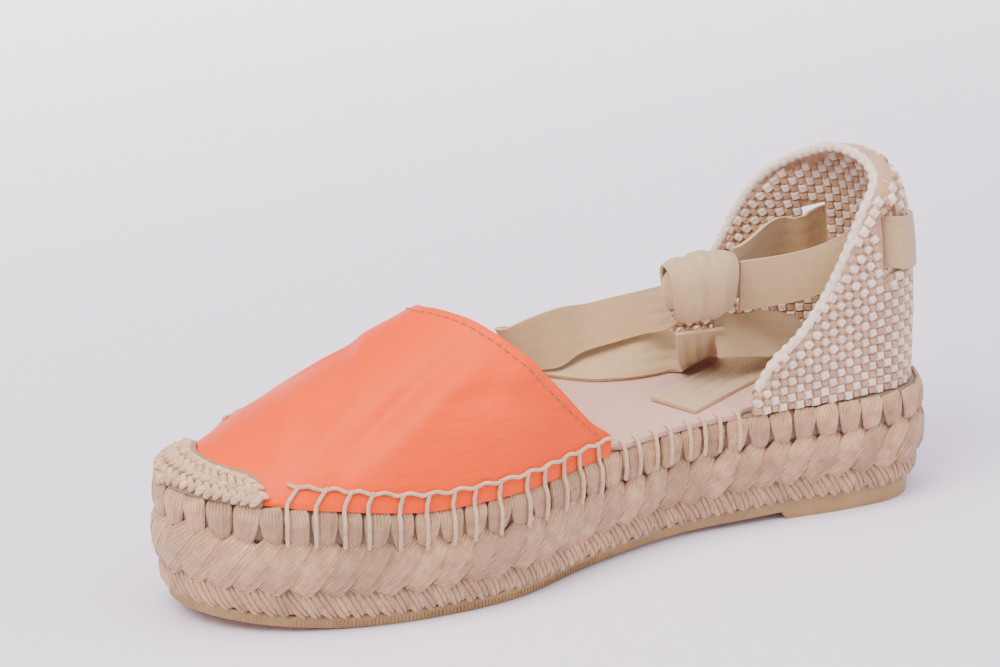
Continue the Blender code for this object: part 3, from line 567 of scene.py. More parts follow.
def wall_part(outer, inner, uv=None, holes=()):
    """A closed shell between two grids, with a rim round its edge and round each hole."""
    rows, columns = outer.shape[:2]
    if uv is None:
        uv = grid_part(outer)["maps"].reshape(rows - 1, columns - 1, 4, 2)
        uv = np.concatenate([
            np.concatenate([uv[:, :, 0], uv[:, -1:, 1]], 1),
            np.concatenate([uv[-1:, :, 3], uv[-1:, -1:, 2]], 1),
        ])
    size = rows * columns
    kept = np.ones((rows - 1, columns - 1), bool)
    for r0, r1, c0, c1 in holes:
        kept[r0:r1, c0:c1] = False
    padded = np.zeros((rows + 1, columns + 1), bool)
    padded[1:-1, 1:-1] = kept
    flat_uv = uv.reshape(-1, 2)
    faces, corners = [], []

    def add(face):
        faces.append(face)
        corners.extend(i % size for i in face)

    for r, c in np.argwhere(kept):
        a, b = int(r * columns + c), int(r * columns + c + 1)
        d, e = a + columns, b + columns
        add([a, b, e, d])
        add([size + d, size + e, size + b, size + a])
        for (r2, c2), (p, q) in (((r - 1, c), (a, b)), ((r, c + 1), (b, e)), ((r + 1, c), (e, d)),
                                 ((r, c - 1), (d, a))):
            if not padded[r2 + 1, c2 + 1]:
                add([q, p, size + p, size + q])
    used = sorted({i for face in faces for i in face})
    order = {index: k for k, index in enumerate(used)}
    points = np.concatenate([outer.reshape(-1, 3), inner.reshape(-1, 3)])[used]
    return {"points": points, "faces": [[order[i] for i in face] for face in faces], "maps": flat_uv[corners]}


def ring_part(rings):
    """A plate from rings of points: walls between the rings, strips across its top and bottom."""
    stack = np.array(rings)
    count = stack.shape[1]
    closed = np.concatenate([stack, stack[:, :1]], 1)
    part = grid_part(closed)
    levels = len(stack)
    rename = np.arange(levels * (count + 1)).reshape(levels, count + 1)
    index = np.arange(levels * count).reshape(levels, count)
    index = np.concatenate([index, index[:, :1]], 1)
    new = dict(zip(rename.ravel().tolist(), index.ravel().tolist()))
    faces = [[new[i] for i in face] for face in part["faces"]]
    maps = [part["maps"]]
    points = stack.reshape(-1, 3)
    for base, turned in ((0, True), ((levels - 1) * count, False)):
        for i in range(count // 2):
            loop = [base + i, base + i + 1, base + count - i - 1, base + (count - i) % count]
            loop = list(dict.fromkeys(loop))
            if turned:
                loop = loop[::-1]
            faces.append(loop)
            maps.append(points[loop][:, :2])
    return {"points": points, "faces": faces, "maps": np.concatenate(maps)}


def tube_part(path, radius, around=8, lobes=0, depth=0.0, twist=0.0):
    """A closed tube along a path, with a radius for each point; lobes and twist make it a cord."""
    path = np.asarray(path, float)
    count = len(path)
    radius = np.broadcast_to(np.asarray(radius, float), (count,))
    along = np.gradient(path, axis=0)
    along /= np.linalg.norm(along, axis=1)[:, None]
    side = np.cross(along, [0.0, 0.0, 1.0])
    weak = np.linalg.norm(side, axis=1) < 1e-3
    side[weak] = np.cross(along[weak], [1.0, 0.0, 0.0])
    for i in range(1, count):
        if np.dot(side[i], side[i - 1]) < 0:
            side[i] = -side[i]
    side /= np.linalg.norm(side, axis=1)[:, None]
    rise = np.cross(side, along)
    run = run_along(path)
    turn = np.linspace(0, 2 * np.pi, around + 1)[:-1]
    wave = 1 + depth * np.cos(lobes * turn[None] - twist * run[:, None]) if lobes else 1.0
    reach = radius[:, None] * wave
    across = side[:, None] * np.cos(turn)[None, :, None] + rise[:, None] * np.sin(turn)[None, :, None]
    ring = path[:, None] + across * np.broadcast_to(reach, (count, around))[..., None]
    girth = 2 * np.pi * radius.mean()
    index = np.arange(count * around).reshape(count, around)
    wrapped = np.concatenate([index, index[:, :1]], 1)
    quads = np.stack([wrapped[:-1, :-1], wrapped[:-1, 1:], wrapped[1:, 1:], wrapped[1:, :-1]], -1)
    u = np.linspace(0, girth, around + 1)
    uv = np.stack(np.meshgrid(u, run), -1)
    maps = np.stack([uv[:-1, :-1], uv[:-1, 1:], uv[1:, 1:], uv[1:, :-1]], 2).reshape(-1, 2)
    faces = quads.reshape(-1, 4).tolist() + [index[0, ::-1].tolist(), index[-1].tolist()]
    ends = np.concatenate([uv[0, :-1][::-1], uv[-1, :-1]])
    return {"points": ring.reshape(-1, 3), "faces": faces, "maps": np.concatenate([maps, ends])}


def hold(piece, nodes):
    """The finished piece rides on the shoe and stands for its solids, which it hides."""
    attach(piece, "root")
    if nodes:
        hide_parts(*nodes)
    print(piece.name, sum(len(p.vertices) - 2 for p in piece.data.polygons), "triangles")
    return piece


print("helpers for meshes ready")

# %% [markdown]
# Yarn bundles, tufts and loops repeat many hundreds of times, so Geometry Nodes place them. One tree
# takes a mesh of bare points that say how each copy is turned, sized and tinted, puts the part on each
# point, makes the copies real and gives them their material. The result is then kept as a plain mesh.

# %% Tree that repeats a part
repeat = bpy.data.node_groups.new("repeat_part", "GeometryNodeTree")
for label, kind in (("Geometry", "Geometry"), ("Part", "Object"), ("Size", "Float"), ("Finish", "Material")):
    repeat.interface.new_socket(label, in_out="INPUT", socket_type="NodeSocket" + kind)
repeat.interface.new_socket("Geometry", in_out="OUTPUT", socket_type="NodeSocketGeometry")
places_in = repeat.nodes.new("NodeGroupInput").outputs
part_info = repeat.nodes.new("GeometryNodeObjectInfo")
turn_of = repeat.nodes.new("GeometryNodeInputNamedAttribute")
grow_of = repeat.nodes.new("GeometryNodeInputNamedAttribute")
for reader, label in ((turn_of, "turn"), (grow_of, "grow")):
    reader.data_type = "FLOAT_VECTOR"
    reader.inputs["Name"].default_value = label
sized = repeat.nodes.new("ShaderNodeVectorMath")
sized.operation = "SCALE"
copies = repeat.nodes.new("GeometryNodeInstanceOnPoints")
solid = repeat.nodes.new("GeometryNodeRealizeInstances")
painted = repeat.nodes.new("GeometryNodeSetMaterial")
result = repeat.nodes.new("NodeGroupOutput").inputs
for source, target in (
    (places_in["Part"], part_info.inputs["Object"]),
    (places_in["Geometry"], copies.inputs["Points"]),
    (part_info.outputs["Geometry"], copies.inputs["Instance"]),
    (turn_of.outputs["Attribute"], copies.inputs["Rotation"]),
    (grow_of.outputs["Attribute"], sized.inputs[0]),
    (places_in["Size"], sized.inputs["Scale"]),
    (sized.outputs[0], copies.inputs["Scale"]),
    (copies.outputs["Instances"], solid.inputs["Geometry"]),
    (solid.outputs["Geometry"], painted.inputs["Geometry"]),
    (places_in["Finish"], painted.inputs["Material"]),
    (painted.outputs["Geometry"], result["Geometry"]),
):
    repeat.links.new(source, target)


def turned(forward, out):
    """Euler turns that carry X to forward and Z as near as possible to out."""
    forward = forward / np.linalg.norm(forward, axis=1)[:, None]
    side = np.cross(out, forward)
    side /= np.linalg.norm(side, axis=1)[:, None]
    up = np.cross(forward, side)
    frames = np.stack([forward, side, up], 2)
    return np.array([Matrix(m.tolist()).to_euler()[:] for m in frames])


def repeat_part(name, parts, finish, places, forward, out, grow, tint):
    """Copies of a small part at places, each turned, sized and tinted."""
    moved = [dict(part, points=part["points"] - SHIFT) for part in parts]
    template = make_piece(name + "_part", moved, finish)
    points = bpy.data.meshes.new(name)
    points.from_pydata((np.asarray(places) + SHIFT).tolist(), [], [])
    for label, kind, field, values in (
        ("turn", "FLOAT_VECTOR", "vector", turned(np.asarray(forward, float), np.asarray(out, float))),
        ("grow", "FLOAT_VECTOR", "vector", np.asarray(grow, float)),
        ("lightness", "FLOAT", "value", np.asarray(tint, float)),
    ):
        points.attributes.new(label, kind, "POINT").data.foreach_set(field, values.ravel())
    piece = bpy.data.objects.new(name, points)
    bpy.context.scene.collection.objects.link(piece)
    change = piece.modifiers.new("repeat", "NODES")
    change.node_group = repeat
    sockets = {item.name: item.identifier for item in repeat.interface.items_tree if item.in_out == "INPUT"}
    change[sockets["Part"]] = template
    change[sockets["Size"]] = 1.0
    change[sockets["Finish"]] = finish
    graph = bpy.context.evaluated_depsgraph_get()
    mesh = bpy.data.meshes.new_from_object(piece.evaluated_get(graph))
    piece.modifiers.clear()
    piece.data = mesh
    bpy.data.objects.remove(template)
    shared = mesh.attributes.get("lightness")
    if shared is not None and shared.domain == "POINT":
        values = np.empty(len(mesh.vertices))
        shared.data.foreach_get("value", values)
        mesh.attributes["tint"].data.foreach_set("value", values)
    return piece


rng = np.random.default_rng(11)
print("repeat tree with", len(repeat.nodes), "nodes")

# %% [markdown]
# The outsole is a thin sheet of gum rubber glued under the braid. Ahead of the heel its lower edge is
# moulded into fine upright teeth, 1.3 mm apart, and under the heel it is a plain taller block. A ring
# of points follows the outline with four points to a tooth, and every second pair steps in.

# %% Outsole
TEETH_PITCH, TEETH_DEPTH = 0.0013, 0.00045


def build_outsole():
    count = 4 * int(round(0.62 / TEETH_PITCH / 2)) * 2
    ring = outline_ring(RUBBER_INSET, count)
    centre = np.array([0.0, 0.0])
    inward = centre - ring
    inward /= np.linalg.norm(inward, axis=1)[:, None]
    breast = TOE_X + BREAST * SOLE_LENGTH
    block = smoothstep(breast - 0.0008, breast + 0.0008, ring[:, 0])
    bottom = ground_side(ring[:, 0]) * (1 - block)
    top = ground_side(ring[:, 0]) + RUBBER
    tooth = (np.arange(count) // 2 % 2) * TEETH_DEPTH * (1 - block)
    wobble = 0.00035 * np.sin(ring[:, 0] * 900) * np.sin(ring[:, 1] * 700 + 1)
    rings = []
    for share, inset, toothed in ((0.0, 0.0006, 1), (0.08, 0.0, 1), (0.52, 0.0, 1), (0.60, 0.0001, 0),
                                  (0.92, 0.0002, 0), (1.0, 0.0009, 0)):
        plan = ring + inward * (inset + toothed * tooth)[:, None]
        rings.append(np.column_stack([plan, bottom + (top + wobble - bottom) * share]))
    return hold(make_piece("outsole_rubber", [ring_part(rings)], gum_rubber), ["outsole"])


build_outsole()

# %% [markdown]
# The platform is jute rope, braided and stitched up in three rows. The top row is upright loops bunched
# between the edge stitches, the middle row is a fat plait that leans forward, and the lowest is a row
# of finer ribs leaning the other way. Each bundle is a handful of real yarn tubes, so light and shadow
# fall between them, on a core that fills the gaps. The core is coloured dark as painted shade in those
# gaps.

# %% Braided platform
ROWS = (
    # name, bottom, top, pitch, lean in degrees, yarns, yarn radius, spread at the bottom, rise out
    ("braid_bottom", 0.00, 0.27, 0.0046, 118, 3, 0.00085, 1.0, 0.0004),
    ("braid_middle", 0.25, 0.68, 0.0088, 52, 7, 0.00100, 1.0, 0.0012),
    ("braid_top", 0.65, 1.00, 0.0080, 92, 7, 0.00072, 0.45, 0.0008),
)
BULGES = {"braid_bottom": -0.0010, "braid_middle": 0.0, "braid_top": 0.0}
ROW_GIRTH = 0.598


def yarn_bundle(yarns, radius, length, width, waist, thick):
    """Yarns side by side along X, bent over a hump, closer together at the start by the share waist."""
    parts = []
    for k in range(yarns):
        place = (k - (yarns - 1) / 2) / max((yarns - 1) / 2, 1)
        t = np.linspace(-1, 1, 9)
        spread = waist + (1 - waist) * (t + 1) / 2
        x = t * length / 2
        y = place * (width / 2 - radius) * spread * (1 - 0.25 * t ** 4)
        z = thick * (1 - 0.6 * place ** 2) * (1 - t ** 4) - radius * 1.2 * np.abs(t) ** 3
        size = radius * (1.12 - 0.45 * np.abs(t) ** 3) * (1 + 0.12 * np.sin(3 * k + 1))
        parts.append(tube_part(np.column_stack([x, y, z]), size, around=6))
    return parts


def build_braids():
    cores = []
    for name, low, high, pitch, lean, yarns, radius, waist, thick in ROWS:
        levels = []
        for step in (0.0, 0.15, 0.5, 0.85, 1.0):
            round_off = 1 - (1 - (2 * step - 1) ** 2) ** 0.5
            ring = outline_ring(ROW_INSET * round_off + 0.0016 - BULGES[name], 480)
            floor = ground_side(ring[:, 0]) + RUBBER + FIT
            share = low + (high - low) * step
            levels.append(np.column_stack([ring, floor + (deck(ring[:, 0]) - floor) * share]))
        cores.append(ring_part(levels))
        count = int(round(ROW_GIRTH / pitch))
        ring = outline_ring(0.0014 - BULGES[name], 960)
        loop = np.concatenate([ring, ring[:1]])
        even = walk(loop, 0, 1, count + 1)[:-1]
        ahead = np.roll(even, -1, 0) - np.roll(even, 1, 0)
        ahead /= np.linalg.norm(ahead, axis=1)[:, None]
        out = np.column_stack([ahead[:, 1], -ahead[:, 0], np.zeros(count)])
        floor = ground_side(even[:, 0]) + RUBBER + FIT
        tall = (deck(even[:, 0]) - floor) * (high - low)
        middle = floor + (deck(even[:, 0]) - floor) * (low + high) / 2
        angle = np.radians(lean + rng.normal(0, 4, count))
        forward = np.column_stack([ahead * np.cos(angle)[:, None], np.sin(angle)])
        length = tall / np.abs(np.sin(angle)) * 0.98
        unit = 0.01
        parts = yarn_bundle(yarns, radius / unit, 1.0, pitch * 1.04 / unit, waist, thick / unit)
        parts = [dict(part, points=part["points"], maps=part["maps"] * unit) for part in parts]
        grow = np.column_stack([length, np.full(count, unit), np.full(count, unit)])
        grow[:, 1:] *= rng.uniform(0.93, 1.1, (count, 1))
        places = np.column_stack([even, middle])
        piece = repeat_part("jute_" + name, parts, jute, places, forward, out, grow, rng.uniform(0, 1, count))
        hold(piece, [name])
    # The core is a dark fill, its colour painted shade in the gaps between the bundles.
    hold(make_piece("jute_core", cores, jute_core), [])


build_braids()

# %% [markdown]
# The insole is a thin undyed leather sheet. It shows between the toe and the heel piece, where it
# reaches the edge of the jute, and tucks in beside them. Its edge is rounded over in two steps.

# %% Insole
LEATHER, VAMP_INSET, CAP_TUCK = 0.0016, 0.0012, 0.0016
THROAT_BACK, THROAT_MIDDLE = 0.0460, 0.0890
COTTON, COTTON_INSET, COTTON_BACK = 0.0026, 0.0016, 0.0046
COUNTER_START, COUNTER_DEPTH, COUNTER_HEIGHT = 0.1860, 0.0620, 0.0735
SOCK, SOCK_TUCK, SOCK_EDGE = 0.0020, 0.0050, 0.0014


def vamp_inset(x):
    return VAMP_INSET + CAP_TUCK * (1 - smoothstep(0.08, 0.15, station(x)))


def counter_inset(x):
    start = TOE_X + COUNTER_START
    return COTTON_INSET + (COTTON_BACK - COTTON_INSET) * smoothstep(start, start + 1.1 * COUNTER_DEPTH, x)


def insole_inset(x):
    """The insole tucks in beside the leather and the heel piece and reaches out between them."""
    vamp_end, counter = TOE_X + THROAT_MIDDLE + THROAT_BACK, TOE_X + COUNTER_START
    toe = 1 - smoothstep(0.0, 0.34, station(x))
    behind_vamp = smoothstep(vamp_end + 0.001, vamp_end + 0.006, x)
    at_counter = smoothstep(counter - 0.007, counter - 0.001, x)
    beside_vamp = vamp_inset(x) + LEATHER + 3 * FIT + SOCK_TUCK * toe
    beside_counter = counter_inset(x) + COTTON + 3 * FIT
    free = behind_vamp * (1 - at_counter)
    return free * SOCK_EDGE + (1 - behind_vamp) * beside_vamp + at_counter * beside_counter


rings = []
for share, inset in ((0.0, 0.0002), (0.5, 0.0), (0.85, 0.0002), (1.0, 0.0009)):
    ring = outline_ring(insole_inset(OUTLINE_POINTS[:, 0]) + inset, 480)
    rings.append(np.column_stack([ring, deck(ring[:, 0]) + FIT + share * SOCK]))
hold(make_piece("insole_leather", [ring_part(rings)], pale_leather), ["insole"])

# %% [markdown]
# The toe is one piece of soft leather, hollow and open at the throat. A grid runs from its foot on the
# jute up to the throat, its height comes from the crown curve, and the inside is the same grid moved in
# by the leather's thickness. The throat edge is folded, so it is rounded over. Soft troughs and ridges
# give it the slack of real leather.

# %% Toe leather
CROWN_HEIGHT = 0.0448
CROWN = (
    # share of the way from the toe tip to the throat's middle, share of the crown height
    (0.00, 0.000), (0.02, 0.055), (0.06, 0.095), (0.12, 0.130), (0.20, 0.190), (0.35, 0.345),
    (0.58, 0.570), (0.76, 0.785), (0.94, 0.960), (1.00, 1.000), (1.20, 1.080), (1.60, 1.180),
)
VAMP_ACROSS_INNER, VAMP_ACROSS_OUTER, VAMP_UP_TOE, VAMP_UP_BALL = 2.0, 1.6, 1.15, 1.85
THROAT_END = 0.994
THROAT = (
    # side from the inner to the outer end, share of the way back from the throat's middle
    (-1.00, 1.000),
    (-0.98, 0.870),
    (-0.94, 0.750),
    (-0.85, 0.600),
    (-0.70, 0.435),
    (-0.50, 0.290),
    (-0.29, 0.165),
    (-0.09, 0.060),
    (0.10, 0.000),
    (0.30, 0.030),
    (0.50, 0.100),
    (0.70, 0.240),
    (0.85, 0.420),
    (0.94, 0.620),
    (0.98, 0.800),
    (1.00, 0.960),
)
CREASES = (
    # plan place x, y, direction in degrees, half length, half width, depth (troughs are below 0)
    (-0.052, -0.024, 12, 0.022, 0.0030, -0.0012),
    (-0.048, -0.031, 14, 0.020, 0.0032, 0.0011),
    (-0.070, -0.030, 24, 0.016, 0.0030, -0.0009),
    (-0.076, -0.022, 30, 0.014, 0.0034, 0.0009),
    (-0.030, -0.033, -4, 0.018, 0.0026, -0.0010),
    (-0.020, -0.029, 30, 0.013, 0.0030, 0.0009),
    (-0.062, 0.004, 64, 0.016, 0.0040, -0.0008),
    (-0.055, 0.006, 62, 0.016, 0.0042, 0.0008),
    (-0.088, -0.012, 60, 0.014, 0.0036, 0.0008),
    (-0.040, 0.020, -15, 0.022, 0.0040, -0.0009),
    (-0.070, 0.022, -30, 0.018, 0.0035, 0.0008),
)


def vamp_surface(x, y):
    """Height of the leather's outside over the foot."""
    inner, outer = side_edges(x, 0.0)
    inset = vamp_inset(x)
    half = (outer - inner) / 2 - inset
    across = np.clip(np.abs(y - (inner + outer) / 2) / np.maximum(half, 1e-5), 0, 1)
    roundness = np.where(y > (inner + outer) / 2, VAMP_ACROSS_OUTER, VAMP_ACROSS_INNER)
    table = np.array(CROWN)
    way = np.clip((x - TOE_X - inset) / THROAT_MIDDLE, 0, table[-1, 0])
    crown = CROWN_HEIGHT * smooth_curve(table[:, 0] ** 0.5, table[:, 1], way ** 0.5)
    power = VAMP_UP_TOE + (VAMP_UP_BALL - VAMP_UP_TOE) * smoothstep(0.0, 0.6, way)
    return deck(x) + FIT + crown * (1 - across ** roundness) ** (1 / power)


def throat_point(side):
    table = np.array(THROAT)
    x = TOE_X + THROAT_MIDDLE + THROAT_BACK * smooth_curve(table[:, 0], table[:, 1], side)
    inner, outer = side_edges(x, VAMP_INSET)
    return np.stack([x, (inner + outer) / 2 + side * THROAT_END * (outer - inner) / 2], -1)


def vamp_foot(count):
    moved = OUTLINE_POINTS - OUTLINE_OUT * vamp_inset(OUTLINE_POINTS[:, 0])[:, None]
    end = TOE_X + THROAT_MIDDLE + THROAT_BACK
    half = len(moved) // 2
    inner, outer = moved[:half + 1], moved[half:]
    first = walk(inner[inner[:, 0] < end][::-1], 0, 1, count // 2 + 1)
    return np.concatenate([first, walk(outer[outer[:, 0] < end][::-1], 0, 1, count // 2 + 1)[1:]])


def grid_normals(grid):
    normal = np.cross(np.gradient(grid, axis=1), np.gradient(grid, axis=0))
    return normal / np.maximum(np.linalg.norm(normal, axis=2), 1e-12)[..., None]


def facing_out(grid):
    normal = grid_normals(grid)
    middle = grid.reshape(-1, 3).mean(0)
    return normal if ((grid - middle) * normal).sum() > 0 else -normal


def vamp_skin(rows, columns):
    """Outside of the leather, a row for each step from its foot to the throat."""
    foot = vamp_foot(columns)
    side = np.linspace(-1, 1, columns + 1)
    throat = throat_point(np.sign(side) * np.abs(side) ** 0.7)
    way = np.linspace(0, 1, rows) ** 2.0
    plan = foot[None] + (throat - foot)[None] * way[:, None, None]
    height = vamp_surface(plan[..., 0], plan[..., 1])
    height[0] = deck(foot[:, 0]) + FIT
    return np.concatenate([plan, height[..., None]], 2)


def crease_depth(x, y):
    total = np.zeros_like(x)
    for cx, cy, degrees, long, wide, depth in CREASES:
        a = math.radians(degrees)
        u = (x - cx) * math.cos(a) + (y - cy) * math.sin(a)
        v = -(x - cx) * math.sin(a) + (y - cy) * math.cos(a)
        total += depth * np.exp(-(u / long) ** 2 - (v / wide) ** 2)
    return total


def dense_path(path, count):
    """A rounded path through a few points."""
    path = np.asarray(path, float)
    run = run_along(path)
    even = np.linspace(0, run[-1], count)
    return np.column_stack([smooth_curve(run, path[:, k], even) for k in range(3)])


def rounded_wall(outer, inner, steps=5):
    """A shell whose last row is rounded over from the outside to the inside, closed all round."""
    middle, arm = (outer[-1] + inner[-1]) / 2, (outer[-1] - inner[-1]) / 2
    on = outer[-1] - outer[-2]
    on *= (np.linalg.norm(arm, axis=1) / np.linalg.norm(on, axis=1))[:, None]
    turns = np.linspace(0, np.pi, steps + 1)[1:-1]
    rim = np.array([middle + arm * np.cos(t) + on * np.sin(t) for t in turns])
    loop = np.concatenate([outer, rim, inner[::-1]])
    part = grid_part(loop, wrap=True)
    rows, columns = loop.shape[:2]
    for column, turned in ((0, False), (columns - 1, True)):
        low, high = 0, rows - 1
        while high - low > 1:
            face = [low * columns + column, (low + 1) * columns + column,
                    (high - 1) * columns + column, high * columns + column]
            face = list(dict.fromkeys(face))
            part["faces"].append(face[::-1] if turned else face)
            part["maps"] = np.concatenate([part["maps"], loop.reshape(-1, 3)[face][:, :2]])
            low, high = low + 1, high - 1
    return part


skin = vamp_skin(84, 220)
out = facing_out(skin)
fade = smoothstep(0.0, 0.15, np.linspace(0, 1, 84))[:, None]
skin += out * (crease_depth(skin[..., 0], skin[..., 1]) * fade)[..., None]
inner = skin - facing_out(skin) * LEATHER
inner[0, :, 2] = skin[0, :, 2]
hold(make_piece("toe_leather", [rounded_wall(skin, inner)], orange_leather), ["vamp"])

# %% [markdown]
# The leather is laced to the jute by hand. A thread runs level a little above its foot, and every 8 mm
# a leg drops from it over the top row. The insole's free edge has the same legs. A finer orange seam
# follows the throat just inside its fold.

# %% Hand stitches
STITCH_RISE, STITCH_GAP, STITCH_DROP, THREAD = 0.0055, 0.0080, 0.0105, 0.00058
CAP_CLEAR, EDGE_GAP, EDGE_IN = 0.24, 0.0058, 0.0042
SEAM_GAP, SEAM_STITCH, SEAM_IN = 0.0031, 0.0023, 0.0026
CORD = {"around": 8, "lobes": 3, "depth": 0.12, "twist": 2600}


def up_the_skin(column, rise):
    """The leather's own points of a column, from its foot up to a height above the foot."""
    line = skin[:, column]
    high = line[:, 2] - line[0, 2]
    levels = np.linspace(rise, 0.0, 6)
    return np.column_stack([np.interp(levels, high, line[:, k]) for k in range(3)])


def over_the_row(start, drop):
    """Where a leg that comes to the edge at start bends down over the top row."""
    nearest = np.argmin(np.linalg.norm(OUTLINE_POINTS - start[:2], axis=1))
    edge, away = OUTLINE_POINTS[nearest], OUTLINE_OUT[nearest]
    top = deck(edge[:1])[0]
    bends = ((0.0000, -0.0006), (0.0009, -0.0024), (0.0010, -0.6 * drop), (0.0004, -drop))
    return np.array([[*(edge + away * reach), top + low] for reach, low in bends])


legs, levels = [], []
columns = np.arange(skin.shape[1])
shares = np.linspace(-1, 1, len(columns))
for chosen in (columns[shares < -CAP_CLEAR], columns[shares > CAP_CLEAR]):
    foot_run = run_along(skin[0, chosen])
    bar = np.array([up_the_skin(c, STITCH_RISE)[0] + out[8, c] * THREAD for c in chosen])
    sag = 0.0005 * np.sin(foot_run / STITCH_GAP * 2 * np.pi)
    bar[:, 2] += sag
    levels.append(tube_part(bar, THREAD, **CORD))
    for run in np.arange(0.6 * STITCH_GAP, foot_run[-1], STITCH_GAP):
        column = chosen[np.argmin(np.abs(foot_run - run - rng.normal(0, 0.0004)))]
        first = up_the_skin(column, STITCH_RISE * 1.06) + out[8, column] * THREAD
        path = np.concatenate([first[:-1], over_the_row(first[-1], STITCH_DROP)])
        legs.append(tube_part(dense_path(path, 16), THREAD * 1.05, **CORD))
for x in np.arange(TOE_X + THROAT_MIDDLE + THROAT_BACK + 0.004, TOE_X + COUNTER_START - 0.002, EDGE_GAP):
    for edge in side_edges(np.array([x]), 0.0):
        start = np.array([x + rng.normal(0, 0.0004), edge[0] - np.sign(edge[0]) * EDGE_IN])
        high = deck(start[:1])[0] + FIT + SOCK
        first = [[*start, high - 0.0006], [start[0], start[1] + np.sign(edge[0]) * 0.0012, high + 0.0005],
                 [start[0], edge[0] - np.sign(edge[0]) * 0.0008, high + 0.0002]]
        path = np.concatenate([first, over_the_row(np.array([start[0], edge[0]]), STITCH_DROP * 0.8)[1:]])
        legs.append(tube_part(dense_path(path, 14), THREAD, **CORD))
hold(make_piece("foot_stitches", levels + legs, linen_thread), [])

seam = []
for column in range(3, skin.shape[1] - 3):
    back = skin[::-1, column]
    run = run_along(back)
    seam.append([np.interp(SEAM_IN, run, back[:, k]) for k in range(3)] + out[-3, column] * 0.00012)
seam = np.array(seam)
run = run_along(seam)
stitches = []
for start in np.arange(0.0, run[-1] - 0.003, SEAM_GAP):
    reach = np.linspace(start, start + SEAM_STITCH, 5)
    path = np.column_stack([np.interp(reach, run, seam[:, k]) for k in range(3)])
    stitches.append(tube_part(path, [0.00012, 0.0003, 0.00034, 0.0003, 0.00012], around=6))
hold(make_piece("throat_seam", stitches, orange_thread), [])

# %% [markdown]
# The heel piece is thick cotton in a basket weave. Its wall rises from the jute to a free edge that
# sweeps up from the front corners to the top of the heel, with a slot on each side for the ribbon. The
# wall comes first, in the tan of the ground weave, and the raised tufts are set on it afterwards.

# %% Heel piece wall
SLOT_SHARE, SLOT_WIDTH, SLOT_SLACK = 0.315, 0.0078, 0.0021
RIBBON_WIDTH, RIBBON, BAND_EASE = 0.0170, 0.0011, 0.0006
BAND_INNER, BAND_OUTER = 0.0775, 0.0665
HEEL_WIDTH, COUNTER_BULGE, EDGE_LEAN = 0.0580, 3.0, 1.6
COUNTER_EDGE = (
    # share of the way, behind the front corners, sideways, height over the deck
    (0.00, 0.020, -0.440, 0.110), (0.05, 0.110, -0.448, 0.225), (0.10, 0.242, -0.452, 0.318),
    (0.16, 0.395, -0.438, 0.478), (0.20, 0.492, -0.422, 0.620), (0.24, 0.581, -0.402, 0.770),
    (0.30, 0.674, -0.357, 0.876), (0.36, 0.726, -0.290, 0.922), (0.42, 0.735, -0.198, 0.967),
    (0.46, 0.719, -0.129, 0.986), (0.50, 0.697, -0.052, 0.995), (0.54, 0.674, 0.034, 0.992),
    (0.58, 0.648, 0.121, 0.971), (0.64, 0.605, 0.250, 0.919), (0.70, 0.565, 0.336, 0.874),
    (0.76, 0.492, 0.419, 0.808), (0.80, 0.435, 0.466, 0.742), (0.84, 0.379, 0.493, 0.667),
    (0.90, 0.250, 0.534, 0.443), (0.95, 0.137, 0.566, 0.254), (1.00, 0.024, 0.579, 0.110),
)


FOOT_LINE = OUTLINE_POINTS - OUTLINE_OUT * counter_inset(OUTLINE_POINTS[:, 0])[:, None]
FOOT_LINE = FOOT_LINE[FOOT_LINE[:, 0] > TOE_X + COUNTER_START]
FOOT_RUN = run_along(FOOT_LINE)


def counter_foot(share):
    want = np.asarray(share) * FOOT_RUN[-1]
    return np.stack([np.interp(want, FOOT_RUN, FOOT_LINE[:, k]) for k in (0, 1)], -1)


def counter_edge(share):
    table = np.array(COUNTER_EDGE)
    behind, side, height = (flowing_curve(table[:, 0], table[:, k], share) for k in (1, 2, 3))
    x = TOE_X + COUNTER_START + behind * COUNTER_DEPTH
    return np.stack([x, side * HEEL_WIDTH, deck(x) + height * COUNTER_HEIGHT], -1)


def counter_place(share, level):
    """Point on the outside of the heel piece."""
    foot, edge = counter_foot(share), counter_edge(share)
    from_corner = 0.5 - np.abs(np.asarray(share) - 0.5)
    power = EDGE_LEAN + (COUNTER_BULGE - EDGE_LEAN) * smoothstep(0.1, 0.42, from_corner)
    inward = 1 - (1 - np.clip(level, 0, 1) ** power) ** (1 / power)
    plan = foot + (edge[..., :2] - foot) * inward[..., None]
    base = deck(foot[..., 0]) + FIT
    return np.concatenate([plan, (base + (edge[..., 2] - base) * level)[..., None]], -1)


def counter_normal(share, level):
    ahead, back = np.clip(share + 0.012, 0, 1), np.clip(share - 0.012, 0, 1)
    higher, lower = np.clip(level + 0.04, 0, 0.99), np.clip(level - 0.04, 0, 0.95)
    out = np.cross(counter_place(ahead, level) - counter_place(back, level),
                   counter_place(share, higher) - counter_place(share, lower))
    return out / np.linalg.norm(out, axis=-1)[..., None]


def wall_share(share, z):
    base = deck(counter_foot(share)[..., 0]) + FIT
    return (z - base) / (counter_edge(share)[..., 2] - base)


HALF_SLOT = SLOT_WIDTH / 2 / FOOT_RUN[-1]
RIBBON_RISE = RIBBON_WIDTH * 0.97


def band_height(share):
    return BAND_INNER + (BAND_OUTER - BAND_INNER) * (share - SLOT_SHARE) / (1 - 2 * SLOT_SHARE)


def slot_levels(share):
    share = np.array(share)
    low = band_height(share) - SLOT_SLACK
    return wall_share(share, low), wall_share(share, low + RIBBON_RISE + 2 * SLOT_SLACK)


